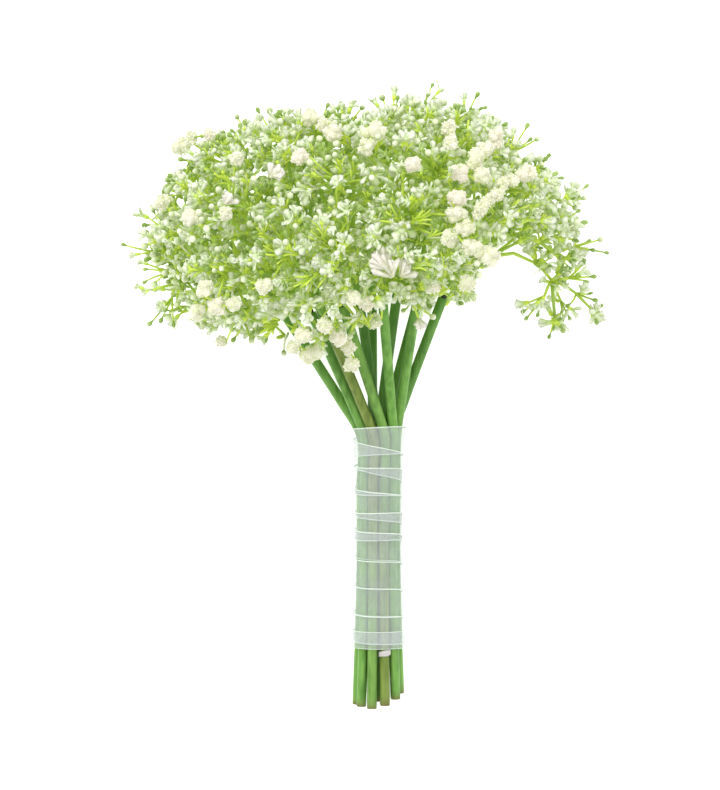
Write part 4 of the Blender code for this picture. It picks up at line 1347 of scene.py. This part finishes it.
def set_blossoms(growths, seats, owners, rng):
    """The cream and pleated blossoms, each on a stalk from the nearest branch or the blossom above it."""
    hung, holders = np.zeros((0, 3)), []
    for x, z, radius, length, lean in np.array(CREAM_BLOSSOMS) / (1000, 1000, 1000, 1000, 1):
        centre = front_surface(x, z)
        way = leaning(lean, rng.uniform(-0.3, 0.3))
        seat, owner, gap = nearest_seat(seats, owners, centre, BLOSSOM_GAP)
        near = np.linalg.norm(hung - centre, axis=1)
        if len(hung) and near.min() < min(gap, HANG_REACH):
            seat, owner, gap = hung[near.argmin()], holders[near.argmin()], near.min()
        if way @ (centre - seat) < 0.0:
            way = -way
        base = centre - way * length * 0.42
        elbow = seat + unit(centre - seat) * gap * 0.5 + np.array((0.0, -0.12 * gap, 0.0))
        growths[owner].rod(seat, elbow, base, BLOSSOM_RADII, (0.45, 0.9), rng.random())
        growths[owner].ball(centre, way, length, radius, 1.0, rng)
        hung, holders = np.vstack((hung, centre)), holders + [owner]
    for x, z, length, lean in np.array(PLEATED_BLOSSOMS) / (1000, 1000, 1000, 1):
        centre = front_surface(x, z) - np.array((0.0, 0.001, 0.0))
        way = leaning(lean, -0.15)
        base = centre - way * length * 0.5
        seat, owner, _ = nearest_seat(seats, owners, base, TUFT_GAP)
        elbow = on_line(seat, base, 0.5) + np.array((0.0, -0.002, 0.0))
        growths[owner].rod(seat, elbow, base, PLEATED_RADII, (0.45, 0.9), rng.random())
        face = unit(np.cross(np.cross(way, (0.1, -1.0, 0.25)), way))
        growths[owner].fan(base, way, face, length, rng)


def set_sprigs(growths, seats, owners, rng):
    """The listed sprigs, each from the fork that carries it or from the nearest branch."""
    forks = []
    for carrier, fork, arch, heads in HAND_SPRIGS:
        fork = np.array(fork) / 1000
        if carrier is None:
            root, owner, _ = nearest_seat(seats, owners, fork, SPRIG_GAP)
            radii, ages = (TWIG_RADII[0], FORK_RADIUS), (0.45, 0.70)
        else:
            root, owner = forks[carrier]
            radii, ages = (SPRIG_RADIUS, FORK_RADIUS), (0.50, 0.70)
        elbow = on_line(root, fork, 0.5) + np.array((0.0, 0.0, arch * 0.002))
        growths[owner].rod(root, elbow, fork, radii, ages, rng.random())
        forks.append((fork, owner))
        for x, z, form in heads:
            tip = np.array((x / 1000, fork[1] + rng.uniform(-0.005, 0.005), z / 1000))
            elbow = on_line(fork, tip, 0.5) + unit(fork - root) * 0.0015
            seat = growths[owner].head(tip, unit(tip - elbow), form, 1.0, rng)
            growths[owner].rod(fork, elbow, seat, PEDICEL_RADII, (0.50, 0.85), rng.random())
    for carrier, place in FORK_TUFTS:
        fork, owner = forks[carrier]
        place = np.array(place) / 1000
        grow_umbel(growths[owner], fork, place, "lime", FORK_TUFT_STALKS, FORK_TUFT_REACH, rng)
    for x, z, kind in FRONT_TUFTS:
        point = front_surface(x / 1000, z / 1000)
        seat, owner, _ = nearest_seat(seats, owners, point, TUFT_GAP)
        grow_umbel(growths[owner], seat, point, kind, FRONT_TUFT_STALKS, FRONT_TUFT_REACHES[kind], rng)


def spray_pieces(spray, growth, finishes):
    """Two surfaces for one spray: its green growth with the buds, and its blossoms."""
    name = f"spray_{spray.index + 1:02d}"
    sprig, blossom = Surface(), Surface()
    rods = np.array(growth.rods)
    thick = rods[:, 9] > THICK_ROD
    sprig.add_rods(rods[thick], 8, 10, GREEN)
    sprig.add_rods(rods[~thick], 4, 2, GREEN)
    sprig.add_rods(np.array(growth.pale), 4, 2, BUD)
    sprig.add_heads(growth.buds, ROUND_BUD, 6, BUD, (0.1, 0.0), (1.0, 0.0))
    sprig.add_heads(growth.drops, DROP_BUD, 6, BUD, (-0.4, 0.0), (0.22, 0.0))
    sprig.add_heads(growth.calyxes, CALYX, 6, GREEN, (0.8, 0.0), (1.0, 0.0))
    sprig.add_petals(growth.leaves, LEAF, 0.00022, GREEN, (0.7, 0.0), (1.0, 0.0))
    for rings, finish, age, tone in ((NECK_RINGS, NECK, 0.0, 0.5), (CUP_RINGS, GREEN, -0.4, 0.8)):
        row = (*spray.joint, *spray.heading, 1.0, 1.0, tone, 0.0)
        sprig.add_heads([row], rings, 16, finish, (age, 0.0), (age, 0.0))
    blossom.add_petals(growth.petals, PETAL_SHAPE, 0.00018, PETAL, *PETAL_AGES)
    blossom.add_petals(growth.pleats, PETAL_SHAPE, 0.00022, CREAM, *PETAL_AGES)
    blossom.add_petals(growth.crumbs, CRUMB, 0.00055, CREAM, *PETAL_AGES)
    blossom.add_heads(growth.throats, THROAT, 6, PETAL, *THROAT_AGES)
    blossom.add_heads(growth.cores, CORE, 7, CREAM, *THROAT_AGES)
    return sprig.make(name + "_sprig", finishes), blossom.make(name + "_blossom", finishes)


# Ribbon and band.

def hull_radius(turn, height):
    """Distance out to a line held taut round the ring of stems: round over each stem, flat between."""
    ring = ring_radius(height)
    half = math.pi / RING_COUNT
    off = np.abs((turn - RING_TURN + half) % (2 * half) - half)
    flat = (ring * math.cos(half) + STEM_RADIUS) / np.cos(half - off)
    over = ring * np.cos(off) + np.sqrt(np.maximum(STEM_RADIUS ** 2 - (ring * np.sin(off)) ** 2, 0.0))
    touch = np.arctan2(STEM_RADIUS * math.sin(half), ring + STEM_RADIUS * math.cos(half))
    return np.where(off < touch, over, flat)


def ribbon_piece(material_for):
    """A strip wound round the stems. Its middle passes given heights at the left and right edges of the
    bunch, joined by a smooth curve; its upper edge lies outside the turn above."""
    knots = np.array(RIBBON_SIDES).ravel()
    turns = np.arange(len(knots)) * math.pi
    steps = np.linspace(0.0, turns[-1], 1 + RIBBON_STEPS * (len(knots) - 1))
    span = np.clip((steps / math.pi).astype(int), 0, len(knots) - 2)
    middle = cubic_steps(knots, np.gradient(knots, turns), span, steps / math.pi - span, math.pi)
    across = np.linspace(-0.5, 0.5, RIBBON_LINES)
    width = np.interp(steps, (turns[-3] + 1.0, turns[-2] - 0.6), (RIBBON_WIDTH, RIBBON_END_WIDTH))
    height = np.minimum(middle[:, None] + across * width[:, None], RIBBON_TOP)
    turn = np.repeat((-math.pi / 2 + steps)[:, None], RIBBON_LINES, axis=1)
    swell = np.clip((height - RIBBON_FLARE) / (RIBBON_TOP - RIBBON_FLARE), 0.0, 1.0)
    lift = RIBBON_LIFT * (1.0 + (across + 0.5) * 1.6)
    below = np.clip((RIBBON_SIDES[-2][0] + 0.001 - middle) / 0.002, 0.0, 1.0)[:, None]
    ripple = RIBBON_RIPPLE * np.sin(steps * 11.0)[:, None] * np.cos(across * 9.0)
    radius = (hull_radius(turn, height) + RIBBON_CLEAR + RIBBON_SWELL * swell + lift
              + below * RIBBON_LIFT * 2.2 + ripple)
    outer = np.stack((
        radius * np.sin(turn) + RIBBON_LEAN * swell, -radius * np.cos(turn), height), axis=-1)
    way, up = (unit(np.gradient(outer, axis=axis)) for axis in (0, 1))
    out = unit(np.cross(way, up)) * (RIBBON_THICK / 2)
    places = np.concatenate(((outer + out).reshape(-1, 3), (outer - out).reshape(-1, 3)))
    rows, columns = height.shape
    face = grid_faces(rows, columns)
    rim = np.concatenate((
        np.arange(columns), np.arange(1, rows) * columns + columns - 1,
        (rows - 1) * columns + np.arange(columns - 2, -1, -1), np.arange(rows - 2, 0, -1) * columns))
    after = np.roll(rim, -1)
    side = np.stack((rim, after, after + rows * columns, rim + rows * columns), axis=-1)
    quads = np.concatenate((face, face[:, ::-1] + rows * columns, side))
    run = run_along(outer[:, columns // 2])
    flat = np.stack(np.broadcast_arrays((run / run[-1])[:, None], across + 0.5), axis=-1).reshape(-1, 2)
    length = float(run[-1])
    piece = sheet_mesh("ribbon_organza", places, quads, np.tile(flat, (2, 1)), material_for(length))
    return piece, length


def sheet_mesh(name, places, quads, flat, material):
    """A mesh of four-sided faces laid down with the bunch, with a cloth map."""
    mesh = bpy.data.meshes.new(name)
    mesh.from_pydata(laid(places).tolist(), [], quads.tolist())
    layer = mesh.uv_layers.new(name="cloth")
    layer.data.foreach_set("uv", flat[quads.ravel()].ravel())
    mesh.polygons.foreach_set("use_smooth", np.ones(len(quads), dtype=bool))
    mesh.update()
    mesh.materials.append(material)
    return shown(name, mesh)


def band_piece(material):
    """A short slanted collar of tape: a rounded flat section carried round the stem."""
    centre = stem_base(BAND_STEM, BAND_CENTRE_Z)
    turn = np.arange(BAND_STEPS) * math.tau / BAND_STEPS
    section = np.arange(BAND_SIDES) * math.tau / BAND_SIDES
    wave = 1.0 + 0.10 * np.sin(3 * turn + 0.6)
    radius = (STEM_RADIUS + BAND_CLEAR + BAND_THICK * np.cos(section)[None] * wave[:, None]
              + 0.00008 * np.sin(5 * turn)[:, None])
    high = BAND_HEIGHT / 2 * np.sign(np.sin(section)) * np.abs(np.sin(section)) ** 0.5
    height = high[None] * wave[:, None]
    x, y = radius * np.sin(turn)[:, None], -radius * np.cos(turn)[:, None]
    places = np.stack((x, y, height + x * math.tan(BAND_SLANT)), axis=-1) + centre
    step, part = np.meshgrid(np.arange(BAND_STEPS), np.arange(BAND_SIDES), indexing="ij")
    here, there = step * BAND_SIDES, (step + 1) % BAND_STEPS * BAND_SIDES
    after = (part + 1) % BAND_SIDES
    quads = np.stack((here + part, there + part, there + after, here + after), axis=-1).reshape(-1, 4)
    flat = np.stack((step / BAND_STEPS, part / BAND_SIDES), axis=-1).reshape(-1, 2)
    return sheet_mesh("stem_band_tape", places.reshape(-1, 3), quads, flat, material)


# Stage.

def stage_floor():
    """A wide pale surface: a flat grid."""
    line = np.linspace(-FLOOR_SIZE, FLOOR_SIZE, FLOOR_LINES)
    x, y = np.meshgrid(line, line, indexing="ij")
    places = np.stack((x, y, 0.0 * x), axis=-1).reshape(-1, 3)
    mesh = bpy.data.meshes.new("floor")
    mesh.from_pydata(places.tolist(), [], grid_faces(FLOOR_LINES, FLOOR_LINES).tolist())
    material, tree, shader = new_material("floor_paint")
    paint = mixed(tree, ranged(tree, noise(tree, 3.0), 0.3, 0.7), *FLOOR_COLOURS)
    feed(tree, shader, {
        "Base Color": paint, "Roughness": 0.9, "Emission Color": paint, "Emission Strength": 0.65})
    mesh.materials.append(material)
    floor = shown("floor", mesh)


def soft_light(name, place, aim, size, power):
    lamp = bpy.data.lights.new(name, "AREA")
    lamp.shape = "DISK"
    lamp.size = size
    lamp.energy = power
    light = shown(name, lamp)
    light.location = place
    way = np.array(aim) - np.array(place)
    light.rotation_euler = (math.atan2(math.hypot(way[0], way[1]), -way[2]), 0.0,
                            math.atan2(way[1], way[0]) - math.pi / 2)


def stage_light():
    world = bpy.data.worlds.new("studio")
    bpy.context.scene.world = world
    world.use_nodes = True
    background = world.node_tree.nodes["Background"]
    background.inputs["Color"].default_value = (1.0, 1.0, 1.0, 1.0)
    background.inputs["Strength"].default_value = 0.80
    soft_light("key", (-0.6, 0.8, 1.3), (0.0, 0.05, 0.05), 0.9, 14.0)
    soft_light("fill", (0.9, -0.4, 1.2), (0.0, 0.0, 0.05), 1.2, 4.0)
    scene = bpy.context.scene
    scene.view_settings.view_transform = "Standard"
    scene.view_settings.look = "None"


def place_camera():
    """The camera looks square on to the bunch's axis, with the flowers at the top."""
    data = bpy.data.cameras.new("camera")
    data.sensor_fit = "VERTICAL"
    data.sensor_width = SENSOR
    data.sensor_height = SENSOR
    data.lens = SENSOR * VIEW_DISTANCE / VIEW_HEIGHT
    data.clip_start, data.clip_end = 0.05, 20.0
    camera = shown("camera", data)
    camera.location = laid((VIEW_CENTRE[0], -VIEW_DISTANCE, VIEW_CENTRE[1]))
    camera.rotation_euler = (LIE_TILT, 0.0, 0.0)
    bpy.context.scene.camera = camera


def settle(piece, node):
    """The piece stands for its solid node and rides on the body."""
    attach(piece, "root")
    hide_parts(node)


def grow_solid(paths):
    """The solid sprays as they stand in the part, one on each stem."""
    sprays = [Spray(index, path) for index, path in enumerate(paths)]
    room = Room()
    rng = np.random.default_rng(SEED)
    for index, path in enumerate(paths):
        room.add(STEM_OWNER + index, [(point, STEM_RADIUS) for point in path])
        room.add(index, sprays[index].cup_path())
    grow_branches(sprays, room, tip_targets(rng), rng)
    grow_tips(sprays, room, rng)
    return sprays


def grow_fine(sprays):
    """The finer growth of every spray, with the listed blossoms and sprigs."""
    rng = np.random.default_rng(GROWTH_SEED)
    growths = [Growth() for _ in sprays]
    seats = [grow_spray(spray, growth, rng) for spray, growth in zip(sprays, growths)]
    owners = np.concatenate([np.full(len(places), index) for index, places in enumerate(seats)])
    seats = np.concatenate(seats)
    placed = [target for spray in sprays for _, target, _ in spray.tips]
    fill_shell(growths, seats, owners, placed, OUTER_SHELL, OUTER_SPACING, False, rng)
    fill_shell(growths, seats, owners, placed, INNER_SHELL, INNER_SPACING, True, rng)
    set_blossoms(growths, seats, owners, rng)
    set_sprigs(growths, seats, owners, rng)
    return growths


def main():
    paths = [stem_path(index) for index in range(RING_COUNT + INNER_COUNT)]
    extruded = stem_material()
    for index, path in enumerate(paths):
        tube = stem_piece(index, path, extruded)
        settle(tube, f"stem_{index + 1:02d}")

    dye = moulded_colour()
    finishes = [moulded_material(dye, *plastic) for plastic in PLASTICS]
    sprays = grow_solid(paths)
    for spray, growth in zip(sprays, grow_fine(sprays)):
        for piece in spray_pieces(spray, growth, finishes):
            settle(piece, f"spray_{spray.index + 1:02d}")

    weave = woven()
    ribbon, length = ribbon_piece(lambda run: organza_material(weave, run))
    settle(ribbon, "ribbon")
    settle(band_piece(tape_material(weave)), "stem_band")

    stage_floor()
    stage_light()
    place_camera()


main()
